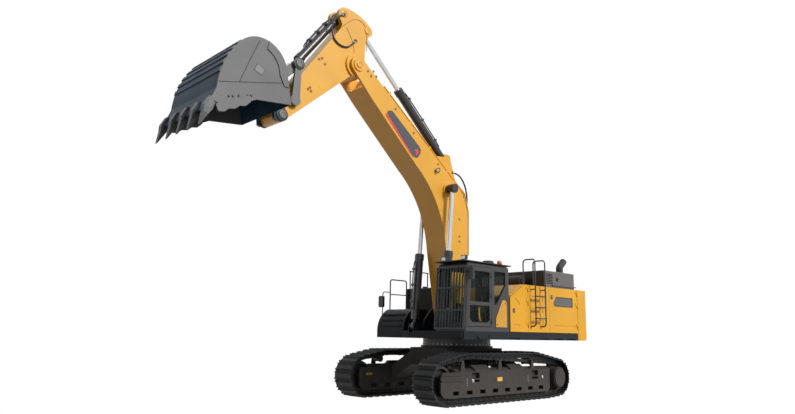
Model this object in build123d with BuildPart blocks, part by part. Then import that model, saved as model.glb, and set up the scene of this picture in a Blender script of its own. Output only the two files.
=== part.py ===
"""Crawler excavator of the seventy tonne class, built as separate pieces (mm).

Modelling frame: X forward, Y to the operator's left, Z up, origin on the slew
axis at ground level.  The last section moves every piece to the stored frame,
whose origin is the centre of the bottom of the whole machine's box.
"""
import os
from math import cos, hypot, radians, sin

from build123d import *

os.makedirs("parts", exist_ok=True)

# ------------------------------------------------------------------ clearances
SEAT = 0.3              # gap between a curved piece and what carries it
RUN_GAP = 8.0           # gap beside a piece that turns or slides
DOOR_GAP = 8.0          # gap round a door or lid

# ----------------------------------------------------------- undercarriage sizes
TRACK_LENGTH = 5950.0
TRACK_GAUGE = 2940.0
SHOE_WIDTH = 650.0
SHOE_COUNT = 54
SHOE_PLATE = 24.0
GROUSER = 38.0
LINK_HEIGHT = 125.0
LINK_THICK = 55.0
LINK_INNER = 55.0       # from the chain's middle to a link's inner side
IDLER_REACH = 570.0     # idler centre to grouser tips
SPROCKET_REACH = 520.0  # sprocket centre to grouser tips
SPROCKET_LIFT = 35.0    # the loop under the sprocket is this far off the ground
SPROCKET_TEETH = 21
TOP_RUN = 1285.0        # top of the upper run over the ground
CARRIER_SHARES = (0.282, 0.030, -0.213)   # places along the track
CARRIER_RADIUS = 85.0
ROLLER_COUNT = 8
ROLLER_RADIUS = 110.0
ROLLER_FROM_FRONT = 1255.0
ROLLER_FROM_REAR = 1095.0
FRAME_HALF = 225.0      # half the width of a side frame
FRAME_TOP = 800.0
FRAME_LOW = 430.0
FINAL_DRIVE_RADIUS = 300.0
SLEW_RADIUS = 950.0
SLEW_LOW = 1400.0       # seat of the slew ring on the centre frame

# ---------------------------------------------------------- upper structure sizes
DECK_LOW = 1590.0
DECK_TOP = 1790.0
BODY_HALF = 1950.0      # half the width of the upper structure
BODY_TOP = 3080.0
HOOD_TOP = 3600.0
TAIL_X = -3720.0        # rear corners of the counterweight
TAIL_BULGE = 300.0      # how far its back stands out in the middle
WEIGHT_FRONT = -3230.0
SIDE_SPLIT = -710.0     # joint between the front door and the step panel
STEP_SPLIT = -1750.0    # joint between the step panel and the rear door
PANEL = 50.0            # thickness of body panels and doors
CAB_REAR = 130.0
CAB_FRONT = 1930.0
CAB_RAKE = 110.0        # how far the windscreen's top leans back
CAB_INNER = 950.0
CAB_TOP = 3480.0
CAB_WALL = 60.0
CAB_SILL = 110.0        # height of the cab's floor above the deck
DOOR_REAR = 850.0       # middle of the pillar behind the door
GLASS = 12.0

# -------------------------------------------------------------- linkage, as (x, z)
BOOM_HALF = 365.0
BOOM_PLATE = 30.0
BOOM_FOOT = (380.0, 2380.0)
BOOM_TIP = (4220.0, 8430.0)
BOOM_ROD_PIN = (820.0, 5730.0)
BOOM_BASE_PIN = (1150.0, 1900.0)
BOOM_CYL_Y = 550.0
BARREL_HALF = 134.0       # largest radius of the arm cylinder's barrel
ARM_HALF = 235.0
EYE_HALF = 118.0         # half width of the arm and bucket cylinders' eyes
ARM_ROD_PIN = (3850.0, 9530.0)
ARM_BASE_PIN = (640.0, 6700.0)
BUCKET_BASE_PIN = (4640.0, 9730.0)
BUCKET_PIN = (6450.0, 6520.0)
ROCKER_PIN = (6080.0, 6980.0)
KNEE_PIN = (6040.0, 7890.0)
BUCKET_TOP_PIN = (6665.0, 7235.0)
BUCKET_HALF = 1025.0
PIN_RADIUS = 65.0
FOOT_PIN = 90.0          # radius of the pin in the boom's foot

pieces = {}


def keep(name, builder):
    """Label a finished piece and list it for writing."""
    builder.part.label = name
    pieces[name] = builder


def at_y(y):
    """Sketch plane across Y, with X to the right and Z up."""
    return Plane.XZ.offset(-y)


def at_x(x):
    """Sketch plane across X, with Y to the right and Z up."""
    return Plane.YZ.offset(x)


def along(start, end, y=0.0):
    """Plane at start, given as (x, z), whose normal points to end."""
    run = (end[0] - start[0], 0, end[1] - start[1])
    return Plane(origin=(start[0], y, start[1]), x_dir=(0, 1, 0), z_dir=run)


def distance(a, b):
    return hypot(b[0] - a[0], b[1] - a[1])


def between(a, b, share):
    return (a[0] + (b[0] - a[0]) * share, a[1] + (b[1] - a[1]) * share)


def beside(a, b, forward, out):
    """Point forward of a towards b, and out to the left of that line."""
    span = distance(a, b)
    ux, uz = (b[0] - a[0]) / span, (b[1] - a[1]) / span
    return (a[0] + ux * forward - uz * out, a[1] + uz * forward + ux * out)


def bent_tube(plane, points, radius, bend, sides=8):
    """Tube of so many sides along a bent run of points on a plane."""
    with BuildPart() as tube:
        with BuildLine(plane) as run:
            FilletPolyline(*points, radius=bend)
        with BuildSketch(Plane(origin=run.line @ 0, z_dir=run.line % 0)):
            RegularPolygon(radius, sides)
        sweep()
    return tube.part


# ==================================================================== the tracks
loop_thick = GROUSER + SHOE_PLATE + LINK_HEIGHT
idler_at = (TRACK_LENGTH / 2 - IDLER_REACH, IDLER_REACH)
sprocket_at = (SPROCKET_REACH - TRACK_LENGTH / 2, SPROCKET_REACH + SPROCKET_LIFT)
carrier_z = TOP_RUN - loop_thick - CARRIER_RADIUS
roller_z = loop_thick + ROLLER_RADIUS
carrier_xs = [share * TRACK_LENGTH for share in CARRIER_SHARES]
first_roller = TRACK_LENGTH / 2 - ROLLER_FROM_FRONT
roller_step = (TRACK_LENGTH - ROLLER_FROM_FRONT - ROLLER_FROM_REAR) / (ROLLER_COUNT - 1)
roller_xs = [first_roller - i * roller_step for i in range(ROLLER_COUNT)]

# wheels that carry the loop: centre x, centre z, tread radius
wheels = [(*idler_at, IDLER_REACH - loop_thick),
          (*sprocket_at, SPROCKET_REACH - loop_thick),
          (roller_xs[-1], roller_z, ROLLER_RADIUS)]
wheels += [(x, carrier_z, CARRIER_RADIUS) for x in carrier_xs]


def loop_face(depth):
    """Face inside the loop, depth outside the wheels' treads."""
    with BuildSketch() as face:
        with BuildLine() as rims:
            for x, z, radius in wheels:
                CenterArc((x, z), radius + depth, 0, 360)
        make_hull(rims.edges())
    return face.sketch


inner_face = loop_face(SEAT)
shoe_wire = loop_face(LINK_HEIGHT).faces()[0].outer_wire()
shoe_joints = [shoe_wire.position_at(i / SHOE_COUNT) for i in range(SHOE_COUNT)]
with BuildSketch() as link_face:
    Polygon(*[(joint.X, joint.Y) for joint in shoe_joints], align=None)

# a shoe's outline: share of the pitch, height over the links
SHOE_OUTLINE = ((0.03, 10.0), (0.10, SHOE_PLATE + GROUSER), (0.20, SHOE_PLATE),
                (0.70, SHOE_PLATE), (0.82, SHOE_PLATE + GROUSER), (0.95, 10.0))


def shoe_points():
    """Outer outline of the loop, shoe after shoe."""
    points = []
    for here, after in zip(shoe_joints, shoe_joints[1:] + shoe_joints[:1]):
        pitch = distance((here.X, here.Y), (after.X, after.Y))
        for share, height in SHOE_OUTLINE:
            points.append(beside((here.X, here.Y), (after.X, after.Y), share * pitch, -outward * height))
    return points


turn = sum(a.X * b.Y - b.X * a.Y for a, b in zip(shoe_joints, shoe_joints[1:]))
outward = 1.0 if turn > 0 else -1.0
shoe_outline = shoe_points()


def track(middle):
    """One closed track: shoes with two grousers on a pair of link strands."""
    with BuildPart() as loop:
        with BuildSketch(at_y(middle + SHOE_WIDTH / 2)):
            Polygon(*shoe_outline, align=None)
            add(link_face.sketch, mode=Mode.SUBTRACT)
        extrude(amount=SHOE_WIDTH)
        for side in (-1, 1):
            low = middle + side * (LINK_INNER + LINK_THICK / 2) - LINK_THICK / 2
            with BuildSketch(at_y(low)):
                add(link_face.sketch)
                add(inner_face, mode=Mode.SUBTRACT)
            extrude(amount=-LINK_THICK)
    return loop


for side, word in ((1, "left"), (-1, "right")):
    keep(f"track_{word}", track(side * TRACK_GAUGE / 2))

# ------------------------------------------------- idlers, sprockets and rollers
WHEEL_FLANGE = 22.0     # height of a guide flange over the tread
FLANGE_HALF = 45.0      # half width of what runs between the links
TREAD_HALF = LINK_INNER + LINK_THICK + 6.0
CHEEK = 60.0            # thickness of the side frame's cheeks round the idler
cheek_inner = FRAME_HALF - CHEEK
idler_radius = IDLER_REACH - loop_thick


WHEEL_SIDES = 24        # sides of the many-sided discs that large wheels are made of
ROLLER_SIDES = 10
HUB_RADIUS = 120.0
WEB_HALF = 30.0
RIM_DEEP = 60.0


def stack(rows, sides):
    """Discs about the Y axis with so many sides, given as (radius, low y, high y)."""
    with BuildPart() as discs:
        for radius, low, high in rows:
            with BuildSketch(at_y(high)):
                RegularPolygon(radius, sides)
            extrude(amount=high - low)
    return discs.part


def idler_wheel():
    """Idler with a guide flange between its treads, dished to a web round the hub."""
    with BuildPart() as wheel:
        add(stack(((idler_radius, -TREAD_HALF, TREAD_HALF),
                   (idler_radius + WHEEL_FLANGE, -FLANGE_HALF, FLANGE_HALF)), WHEEL_SIDES))
        add(stack(((idler_radius - RIM_DEEP, WEB_HALF, TREAD_HALF + 1),
                   (idler_radius - RIM_DEEP, -TREAD_HALF - 1, -WEB_HALF)), WHEEL_SIDES), mode=Mode.SUBTRACT)
        add(stack(((HUB_RADIUS, -cheek_inner, cheek_inner),), ROLLER_SIDES))
    return wheel.part


track_middles = (-TRACK_GAUGE / 2, TRACK_GAUGE / 2)
with BuildPart() as idlers:
    with Locations(*[(idler_at[0], y, idler_at[1]) for y in track_middles]):
        add(idler_wheel())
keep("idlers", idlers)

SPROCKET_HALF = 42.0
sprocket_root = SPROCKET_REACH - loop_thick - 6.0
tooth_tip = sprocket_root + 62.0
drive_core = FINAL_DRIVE_RADIUS - 40.0
with BuildPart() as sprockets:
    for side in (-1, 1):
        middle = side * TRACK_GAUGE / 2
        with BuildSketch(at_y(middle + SPROCKET_HALF)):
            with Locations(sprocket_at):
                Circle(sprocket_root)
                step = 360.0 / SPROCKET_TEETH
                with PolarLocations(0, SPROCKET_TEETH):
                    base = sprocket_root * radians(step)
                    with BuildLine(mode=Mode.PRIVATE) as tooth:
                        Polyline((sprocket_root - 12, -base * 0.36), (tooth_tip, -base * 0.13),
                                 (tooth_tip, base * 0.13), (sprocket_root - 12, base * 0.36), close=True)
                    add(make_face(tooth.edges(), mode=Mode.PRIVATE))
                RegularPolygon(drive_core, WHEEL_SIDES, mode=Mode.SUBTRACT)
        extrude(amount=2 * SPROCKET_HALF)
keep("sprockets", sprockets)


# final drive: radius, and its inner and outer side counted outward from the track's middle
DRIVE_DISCS = ((210.0, -190.0, -109.0), (drive_core - SEAT, -110.0, SPROCKET_HALF + 1),
               (FINAL_DRIVE_RADIUS + 10, SPROCKET_HALF + SEAT, 100.0),
               (FINAL_DRIVE_RADIUS - 10, 99.0, 300.0), (FINAL_DRIVE_RADIUS - 40, 299.0, 325.0))
with BuildPart() as final_drives:
    for side, middle in zip((-1, 1), track_middles):
        discs = [(radius, min(side * low, side * high), max(side * low, side * high))
                 for radius, low, high in DRIVE_DISCS]
        with Locations((sprocket_at[0], middle, sprocket_at[1])):
            add(stack(discs, WHEEL_SIDES))
keep("final_drives", final_drives)

SHAFT = 45.0            # radius of a roller's shaft


def roller(radius, half, flange):
    """Roller about a shaft along Y, with a rim at each end of its tread."""
    rim = TREAD_HALF + 16
    return stack(((SHAFT, -half, half), (radius, -TREAD_HALF, TREAD_HALF),
                  (radius + flange, TREAD_HALF, rim), (radius + flange, -rim, -TREAD_HALF)), ROLLER_SIDES)


bottom_roller = roller(ROLLER_RADIUS, cheek_inner + CHEEK, 20.0)
carrier_roller = roller(CARRIER_RADIUS, 150.0 - SEAT, 14.0)
with BuildPart() as track_rollers:
    with Locations(*[(x, y, roller_z) for y in track_middles for x in roller_xs]):
        add(bottom_roller)
    with Locations(*[(x, y, carrier_z) for y in track_middles for x in carrier_xs]):
        add(carrier_roller)
keep("track_rollers", track_rollers)

# ------------------------------------------------------------------- side frames
frame_front = idler_at[0] - 445.0
frame_rear = sprocket_at[0] + 395.0
cheek_front = idler_at[0] + 115.0
SKIRT_LOW = 190.0       # lower edge of the roller guard
BRACKET = 45.0          # half width of a carrier roller's stand
COVER_LONG = 620.0
POCKET_FROM_END = 730.0
POCKET_WIDE, POCKET_TALL, POCKET_DEEP = 300.0, 230.0, 90.0
POCKET_Z = 660.0
RIB_LONG, RIB_OUT = 780.0, 22.0


def side_frame(side):
    """Welded box between the rollers, with cheeks round the idler and the drive."""
    middle = side * TRACK_GAUGE / 2
    outer = middle + FRAME_HALF
    with BuildPart() as frame:
        # box with a ridged top between the two runs of track
        with BuildSketch(at_x(frame_rear)):
            with BuildLine():
                Polyline((middle - FRAME_HALF, FRAME_LOW), (middle + FRAME_HALF, FRAME_LOW),
                         (middle + FRAME_HALF, FRAME_TOP), (middle + 90, FRAME_TOP + 70),
                         (middle - 90, FRAME_TOP + 70), (middle - FRAME_HALF, FRAME_TOP), close=True)
            make_face()
        extrude(amount=frame_front - frame_rear)
        # cheeks either side of the idler, and the guards beside the rollers
        for low in (middle - FRAME_HALF, outer - CHEEK):
            with BuildSketch(at_y(low)):
                with BuildLine():
                    Polyline((frame_front - 5, FRAME_LOW - 60), (cheek_front - 90, SKIRT_LOW + 30),
                             (cheek_front, SKIRT_LOW + 150), (cheek_front, FRAME_TOP - 60),
                             (cheek_front - 60, FRAME_TOP), (frame_front - 5, FRAME_TOP), close=True)
                make_face()
                with BuildLine():
                    Polyline((cheek_front - 90, SKIRT_LOW + 30), (cheek_front - 400, SKIRT_LOW),
                             (frame_rear + 120, SKIRT_LOW), (frame_rear, SKIRT_LOW + 90),
                             (frame_rear, FRAME_LOW + 10), (frame_front, FRAME_LOW + 10), close=True)
                make_face()
                for x in roller_xs:
                    with Locations((x + roller_step * 0.5, roller_z + 10)):
                        Rectangle(roller_step * 0.42, 96, mode=Mode.SUBTRACT)
                    with Locations((x, roller_z)):
                        RegularPolygon(SHAFT + SEAT, ROLLER_SIDES, mode=Mode.SUBTRACT)
            extrude(amount=-CHEEK)
        # flange plate that the final drive bolts to, on the inner side
        inner = middle - side * FRAME_HALF
        with BuildSketch(at_y(max(inner, inner + side * 45))):
            with BuildLine():
                drive_x, drive_z = sprocket_at
                Polyline((frame_rear + 5, SKIRT_LOW + 100), (drive_x, drive_z - 300),
                         (drive_x - 250, drive_z - 160), (drive_x - 250, drive_z + 160),
                         (drive_x, drive_z + 300), (frame_rear + 5, FRAME_TOP), close=True)
            make_face()
            with Locations(sprocket_at):
                RegularPolygon(210 + SEAT, WHEEL_SIDES, mode=Mode.SUBTRACT)
        extrude(amount=45)
        # stands of the carrier rollers
        for x in carrier_xs:
            with BuildSketch(at_y(middle + side * 150 - (0 if side > 0 else 40))):
                with BuildLine():
                    Polyline((x - 90, FRAME_TOP - 20), (x - BRACKET, carrier_z + 50),
                             (x + BRACKET, carrier_z + 50), (x + 90, FRAME_TOP - 20), close=True)
                make_face()
            extrude(amount=-40)
        # sloping mud covers between the stands
        for ahead, behind in zip(carrier_xs, carrier_xs[1:]):
            with BuildSketch(at_x((ahead + behind) / 2 - COVER_LONG / 2)):
                Polygon((middle, FRAME_TOP + 60), (middle, FRAME_TOP + 150),
                        (middle + side * 70, FRAME_TOP + 150),
                        (middle + side * 215, FRAME_TOP + 40), (middle + side * 215, FRAME_TOP - 10),
                        align=None)
            extrude(amount=COVER_LONG)
        # pockets with a tread bar on the outer side, and ribs along the cheek
        face = middle + side * FRAME_HALF
        for x in (frame_front - POCKET_FROM_END, frame_rear + POCKET_FROM_END):
            with BuildSketch(at_y(max(face - side * POCKET_DEEP, face + side))):
                with Locations((x, POCKET_Z)):
                    Rectangle(POCKET_WIDE, POCKET_TALL)
            extrude(amount=POCKET_DEEP + 1, mode=Mode.SUBTRACT)
            with BuildSketch(at_y(max(face, face - side * (POCKET_DEEP + 5)))):
                with Locations((x, POCKET_Z - 40)):
                    Rectangle(POCKET_WIDE + 2, 30)
            extrude(amount=POCKET_DEEP + 5)
        with BuildSketch(at_y(max(face - side * 5, face + side * RIB_OUT))):
            with Locations((frame_front + 150, FRAME_TOP - 60), (frame_front + 150, FRAME_TOP - 190)):
                Rectangle(RIB_LONG, 40)
        extrude(amount=RIB_OUT + 5)
    return frame


for side, word in ((1, "left"), (-1, "right")):
    keep(f"track_frame_{word}", side_frame(side))

# ------------------------------------------------------------------ centre frame
LEG_XS = (1050.0, -1050.0)
LEG_HALF = 260.0
frame_inner = TRACK_GAUGE / 2 - FRAME_HALF
TOW_EYE_X, TOW_EYE_Z = 1270.0, 1050.0
TOW_EYE_RADIUS = 45.0
TOW_EYE_HALF = 40.0
TOW_EYE_ROUND = 95.0
with BuildPart() as centre_frame:
    with BuildSketch(Plane.XY.offset(880)):
        RectangleRounded(2300, 1700, 260)
    extrude(amount=SLEW_LOW - 60 - 880)
    with BuildSketch(Plane.XY.offset(SLEW_LOW - 60)):
        Circle(SLEW_RADIUS + 60)
    extrude(amount=60)
    for side in (-1, 1):
        for x in LEG_XS:
            with BuildSketch(at_y(side * (frame_inner - SEAT))):
                with Locations((x, (FRAME_TOP + FRAME_LOW) / 2 + 30)):
                    Rectangle(2 * LEG_HALF, FRAME_TOP - FRAME_LOW + 20)
            with BuildSketch(at_y(side * 700)):
                with Locations((x * 0.75, 1090)):
                    Rectangle(2 * LEG_HALF, 400)
            loft(ruled=True)
    with BuildSketch(Plane.XY.offset(800)):
        Circle(430)
    extrude(amount=SLEW_LOW - 800, mode=Mode.SUBTRACT)
    # towing plates at both ends, each with an upright hole for a shackle's pin
    with BuildSketch(Plane.XY.offset(TOW_EYE_Z - TOW_EYE_HALF)):
        for end in (-1, 1):
            with Locations((end * TOW_EYE_X, 0)):
                Circle(TOW_EYE_ROUND)
            with Locations((end * (TOW_EYE_X - 110), 0)):
                Rectangle(220, 2 * TOW_EYE_ROUND)
        with Locations((-TOW_EYE_X, 0), (TOW_EYE_X, 0)):
            Circle(TOW_EYE_RADIUS, mode=Mode.SUBTRACT)
    extrude(amount=2 * TOW_EYE_HALF)
keep("centre_frame", centre_frame)

with BuildPart() as slew_ring_outer:
    with BuildSketch(Plane.XY.offset(SLEW_LOW)):
        Circle(SLEW_RADIUS)
        Circle(SLEW_RADIUS - 130, mode=Mode.SUBTRACT)
    extrude(amount=80)
keep("slew_ring_lower", slew_ring_outer)

# ============================================================== upper structure
SLEW_TOP = SLEW_LOW + 80 + SEAT
with BuildPart() as slew_ring_upper:
    with BuildSketch(Plane.XY.offset(SLEW_TOP)):
        Circle(SLEW_RADIUS)
        Circle(SLEW_RADIUS - 160, mode=Mode.SUBTRACT)
    extrude(amount=DECK_LOW - SLEW_TOP)
keep("slew_ring_upper", slew_ring_upper)

TOWER_INNER = BOOM_HALF + 20.0 + RUN_GAP    # inner face of the boom's towers
TOWER_THICK = 55.0
DECK_FRONT_LEFT = 1985.0
DECK_FRONT_RIGHT = 1280.0
DECK_NOSE = 1300.0          # front of the deck between the boom cylinders
BOX_INNER = -860.0          # inner side of the right front tool box
FOOT_HALF = 62.0            # half width of a boom cylinder's eyes
FOOT_ROOM = 150.0           # room round a boom cylinder's lower eye
LUG_THICK = 40.0
SKIRT_XS = (-2850.0, -2150.0, -1450.0, -100.0)    # middles of the skirt's hollows
SKIRT_WIDE, SKIRT_RISE, SKIRT_DEEP = 560.0, 45.0, 90.0
STEP_BOX_OUT = 60.0
foot_inner = BOOM_CYL_Y - FOOT_HALF - RUN_GAP
foot_outer = BOOM_CYL_Y + FOOT_HALF + RUN_GAP
foot_x, foot_z = BOOM_BASE_PIN
with BuildPart() as upper_frame:
    with BuildSketch(Plane.XY.offset(DECK_LOW)):
        Polygon((WEIGHT_FRONT, -BODY_HALF), (DECK_FRONT_RIGHT, -BODY_HALF), (DECK_FRONT_RIGHT, BOX_INNER),
                (DECK_NOSE, -700), (DECK_NOSE, 700), (1500, CAB_INNER - 60),
                (DECK_FRONT_LEFT, CAB_INNER - 20),
                (DECK_FRONT_LEFT, BODY_HALF), (WEIGHT_FRONT, BODY_HALF), align=None)
    extrude(amount=DECK_TOP - DECK_LOW)
    # bays open from below between the frame's cross members
    with BuildSketch(Plane.XY.offset(DECK_LOW)):
        for side in (-1, 1):
            for x in (-2700.0, -1750.0):
                with Locations((x, side * 1420)):
                    RectangleRounded(820, 800, 60)
            with Locations((-560, side * 1510)):
                RectangleRounded(1250, 640, 60)
        with Locations((-2200, 0)):
            RectangleRounded(1700, 700, 60)
    extrude(amount=DECK_TOP - DECK_LOW - 30, mode=Mode.SUBTRACT)
    # hollows along the lower edge of the side skirts
    for side in (-1, 1):
        with BuildSketch(at_y(side * (BODY_HALF - SKIRT_DEEP / 2) - SKIRT_DEEP / 2)):
            for x in SKIRT_XS:
                with Locations((x, DECK_LOW)):
                    Trapezoid(SKIRT_WIDE, 2 * SKIRT_RISE, 60)
        extrude(amount=-SKIRT_DEEP, mode=Mode.SUBTRACT)
    # step box under the cab's front corner
    with BuildSketch(at_x(DECK_FRONT_LEFT - 5)):
        with Locations((BODY_HALF - 240, DECK_TOP - 90)):
            Rectangle(420, 150)
    extrude(amount=STEP_BOX_OUT + 5)
    for side in (-1, 1):
        # pocket, open to the front, in which the boom cylinder's foot turns
        with BuildSketch(at_y(min(side * foot_inner, side * foot_outer))):
            Polygon((foot_x - FOOT_ROOM, DECK_TOP + 1), (foot_x - FOOT_ROOM, foot_z - FOOT_ROOM),
                    (DECK_NOSE + 1, foot_z - FOOT_ROOM), (DECK_NOSE + 1, DECK_TOP + 1), align=None)
        extrude(amount=foot_inner - foot_outer, mode=Mode.SUBTRACT)
        # tower that holds the boom's foot, running on as a main beam
        low = side * (TOWER_INNER + TOWER_THICK / 2) - TOWER_THICK / 2
        with BuildSketch(at_y(low)):
            Polygon((WEIGHT_FRONT + 20, DECK_TOP - 10), (foot_x - 180, DECK_TOP - 10),
                    (foot_x - 240, DECK_TOP + 290), (BOOM_FOOT[0] + 210, BOOM_FOOT[1] + 40),
                    (BOOM_FOOT[0] + 110, BOOM_FOOT[1] + 180), (BOOM_FOOT[0] - 110, BOOM_FOOT[1] + 180),
                    (-400, 2150), (-1300, DECK_TOP + 240), (WEIGHT_FRONT + 20, DECK_TOP + 240), align=None)
            with Locations(BOOM_FOOT):
                Circle(FOOT_PIN + SEAT, mode=Mode.SUBTRACT)
        extrude(amount=-TOWER_THICK)
        # lugs either side of the boom cylinder's foot
        for inner, outer in ((foot_inner - LUG_THICK, foot_inner), (foot_outer, foot_outer + LUG_THICK)):
            with BuildSketch(at_y(min(side * inner, side * outer))):
                Polygon((foot_x - 150, DECK_TOP - 10), (foot_x + 150, DECK_TOP - 10),
                        (foot_x + 120, foot_z + 110), (foot_x - 120, foot_z + 110), align=None)
            extrude(amount=inner - outer)
        # pin in the boom cylinder's foot
        with BuildSketch(at_y(max(side * foot_inner, side * foot_outer))):
            with Locations(BOOM_BASE_PIN):
                Circle(PIN_RADIUS)
        extrude(amount=foot_outer - foot_inner)
keep("upper_frame", upper_frame)

# ------------------------------------------------------------------------ the cab
cab_floor_top = DECK_TOP + CAB_SILL
windscreen_lean = CAB_RAKE / (CAB_TOP - DECK_TOP)


def front_x(z, back=0.0):
    """X of the raked front at height z, or of a line set back from it."""
    return CAB_FRONT - back - (z - DECK_TOP) * windscreen_lean


def cab_side(back, low, high, rear):
    """Corners of the cab seen from the side, its front following the rake."""
    return ((rear, low), (front_x(low, back), low), (front_x(high, back), high), (rear, high))


pillar = 45.0
door_rear = DOOR_REAR + pillar + DOOR_GAP
HINGE_OUT = 15.0            # hinge pin's distance from the cab side
HINGE_TALL = 70.0
HINGE_RADIUS = 13.0
LEAF = 80.0
hinge_zs = (2060.0, 2700.0, 3200.0)
hinge_x = door_rear - DOOR_GAP / 2


def hinge_leaves(line_x, side, zs, toward, low):
    """Knuckles on an upright hinge line on one side, each with a leaf reaching toward +X or -X."""
    with BuildPart() as leaves:
        for z in zs:
            with BuildSketch(Plane.XY.offset(z + low)):
                with Locations((line_x, side * (BODY_HALF + HINGE_OUT))):
                    Circle(HINGE_RADIUS)
                with Locations((line_x + toward * LEAF / 2, side * (BODY_HALF + HINGE_OUT / 2 - 1))):
                    Rectangle(LEAF, HINGE_OUT + 1)
            extrude(amount=HINGE_TALL)
    return leaves.part


door_low, door_high = cab_floor_top + 5, CAB_TOP - 75
rear_window = ((CAB_REAR + 170, 3330), (DOOR_REAR - pillar - 35, 3330), (DOOR_REAR - pillar - 35, 2470),
               (DOOR_REAR - pillar - 120, 2470), (CAB_REAR + 170, 2980))
with BuildPart() as cab_shell:
    with BuildSketch(at_y(CAB_INNER)):
        Polygon(*cab_side(0, DECK_TOP, CAB_TOP, CAB_REAR), align=None)
    extrude(amount=-(BODY_HALF - CAB_INNER))
    fillet(cab_shell.edges().filter_by(Axis.Y).group_by(Axis.Z)[-1], 70)
    chamfer(cab_shell.edges().filter_by(Axis.X).group_by(Axis.Z)[-1], 30)
    with BuildSketch(at_y(CAB_INNER + CAB_WALL)):
        Polygon(*cab_side(CAB_WALL, cab_floor_top, CAB_TOP - CAB_WALL, CAB_REAR + CAB_WALL), align=None)
    extrude(amount=-(BODY_HALF - CAB_INNER - 2 * CAB_WALL), mode=Mode.SUBTRACT)
    # door opening and the rear quarter window in the outer wall
    with BuildSketch(at_y(BODY_HALF - CAB_WALL - 5)):
        Polygon(*cab_side(75, door_low - 5, door_high, DOOR_REAR + pillar), align=None)
        Polygon(*rear_window, align=None)
    extrude(amount=-(CAB_WALL + 10), mode=Mode.SUBTRACT)
    # window over the boom side
    with BuildSketch(at_y(CAB_INNER - 5)):
        Polygon(*cab_side(110, 2380, 3330, CAB_REAR + 200), align=None)
    extrude(amount=-(CAB_WALL + 10), mode=Mode.SUBTRACT)
    # windscreen, rear window and roof hatch
    with BuildSketch(at_x(CAB_FRONT - CAB_RAKE - CAB_WALL - 30)):
        with Locations(((CAB_INNER + BODY_HALF) / 2, 2680)):
            RectangleRounded(BODY_HALF - CAB_INNER - 150, 1360, 60)
    extrude(amount=CAB_RAKE + CAB_WALL + 60, mode=Mode.SUBTRACT)
    with BuildSketch(at_x(CAB_REAR - 5)):
        with Locations(((CAB_INNER + BODY_HALF) / 2, 2980)):
            RectangleRounded(BODY_HALF - CAB_INNER - 260, 560, 60)
    extrude(amount=CAB_WALL + 10, mode=Mode.SUBTRACT)
    with BuildSketch(Plane.XY.offset(CAB_TOP - CAB_WALL - 5)):
        with Locations((CAB_REAR + 1000, (CAB_INNER + BODY_HALF) / 2)):
            RectangleRounded(560, 520, 60)
    extrude(amount=CAB_WALL + 10, mode=Mode.SUBTRACT)
    add(hinge_leaves(hinge_x, 1, hinge_zs, -1, -HINGE_TALL - SEAT))
keep("cab_shell", cab_shell)

with BuildPart() as cab_glass:
    mid_y = (CAB_INNER + BODY_HALF) / 2
    glass_set = CAB_WALL / 2 + GLASS / 2
    with BuildSketch(at_y(BODY_HALF - glass_set)):
        Polygon(*rear_window, align=None)
    extrude(amount=-GLASS)
    with BuildSketch(at_y(CAB_INNER + glass_set - GLASS)):
        Polygon(*cab_side(110, 2380, 3330, CAB_REAR + 200), align=None)
    extrude(amount=-GLASS)
    with BuildSketch(at_x(CAB_REAR + glass_set - GLASS)):
        with Locations((mid_y, 2980)):
            RectangleRounded(BODY_HALF - CAB_INNER - 260, 560, 60)
    extrude(amount=GLASS)
    with BuildSketch(Plane.XY.offset(CAB_TOP - glass_set)):
        with Locations((CAB_REAR + 1000, mid_y)):
            RectangleRounded(560, 520, 60)
    extrude(amount=GLASS)
    screen = Plane(origin=(front_x(2680) - glass_set, mid_y, 2680), x_dir=(0, 1, 0),
                   z_dir=(1, 0, windscreen_lean))
    with BuildSketch(screen):
        RectangleRounded(BODY_HALF - CAB_INNER - 150, 1360 - 2, 60)
    extrude(amount=GLASS)
keep("cab_glass", cab_glass)

# ----------------------------------------------------------------------- cab door
upper_pane = ((door_rear + 70, 3290), (door_rear + 70, 2520), (front_x(2520, 75 + DOOR_GAP + 60), 2520),
              (front_x(3290, 75 + DOOR_GAP + 60), 3290))
lower_pane = ((door_rear + 70, 2430), (door_rear + 70, 2110), (door_rear + 150, 2010),
              (front_x(2010, 250), 2010), (front_x(2110, 75 + DOOR_GAP + 60), 2110),
              (front_x(2430, 75 + DOOR_GAP + 60), 2430))
with BuildPart() as cab_door:
    with BuildSketch(at_y(BODY_HALF - CAB_WALL + 10)):
        Polygon(*cab_side(75 + DOOR_GAP, door_low + DOOR_GAP, door_high - DOOR_GAP, door_rear), align=None)
        Polygon(*upper_pane, align=None, mode=Mode.SUBTRACT)
        Polygon(*lower_pane, align=None, mode=Mode.SUBTRACT)
    extrude(amount=-(CAB_WALL - 10))
    # inner grip bar under the upper pane
    with BuildSketch(at_y(BODY_HALF - CAB_WALL - 45)):
        with Locations((door_rear + 420, 2475)):
            SlotOverall(520, 36)
    extrude(amount=-35)
    for x in (door_rear + 190, door_rear + 650):
        with BuildSketch(at_y(BODY_HALF - CAB_WALL - 20)):
            with Locations((x, 2475)):
                Circle(14)
        extrude(amount=-40)
    add(hinge_leaves(hinge_x, 1, hinge_zs, 1, 0))
keep("cab_door", cab_door)

with BuildPart() as door_glass:
    with BuildSketch(at_y(BODY_HALF - CAB_WALL / 2 - GLASS / 2)):
        Polygon(*upper_pane, align=None)
        Polygon(*lower_pane, align=None)
    extrude(amount=-GLASS)
keep("door_glass", door_glass)

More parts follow.
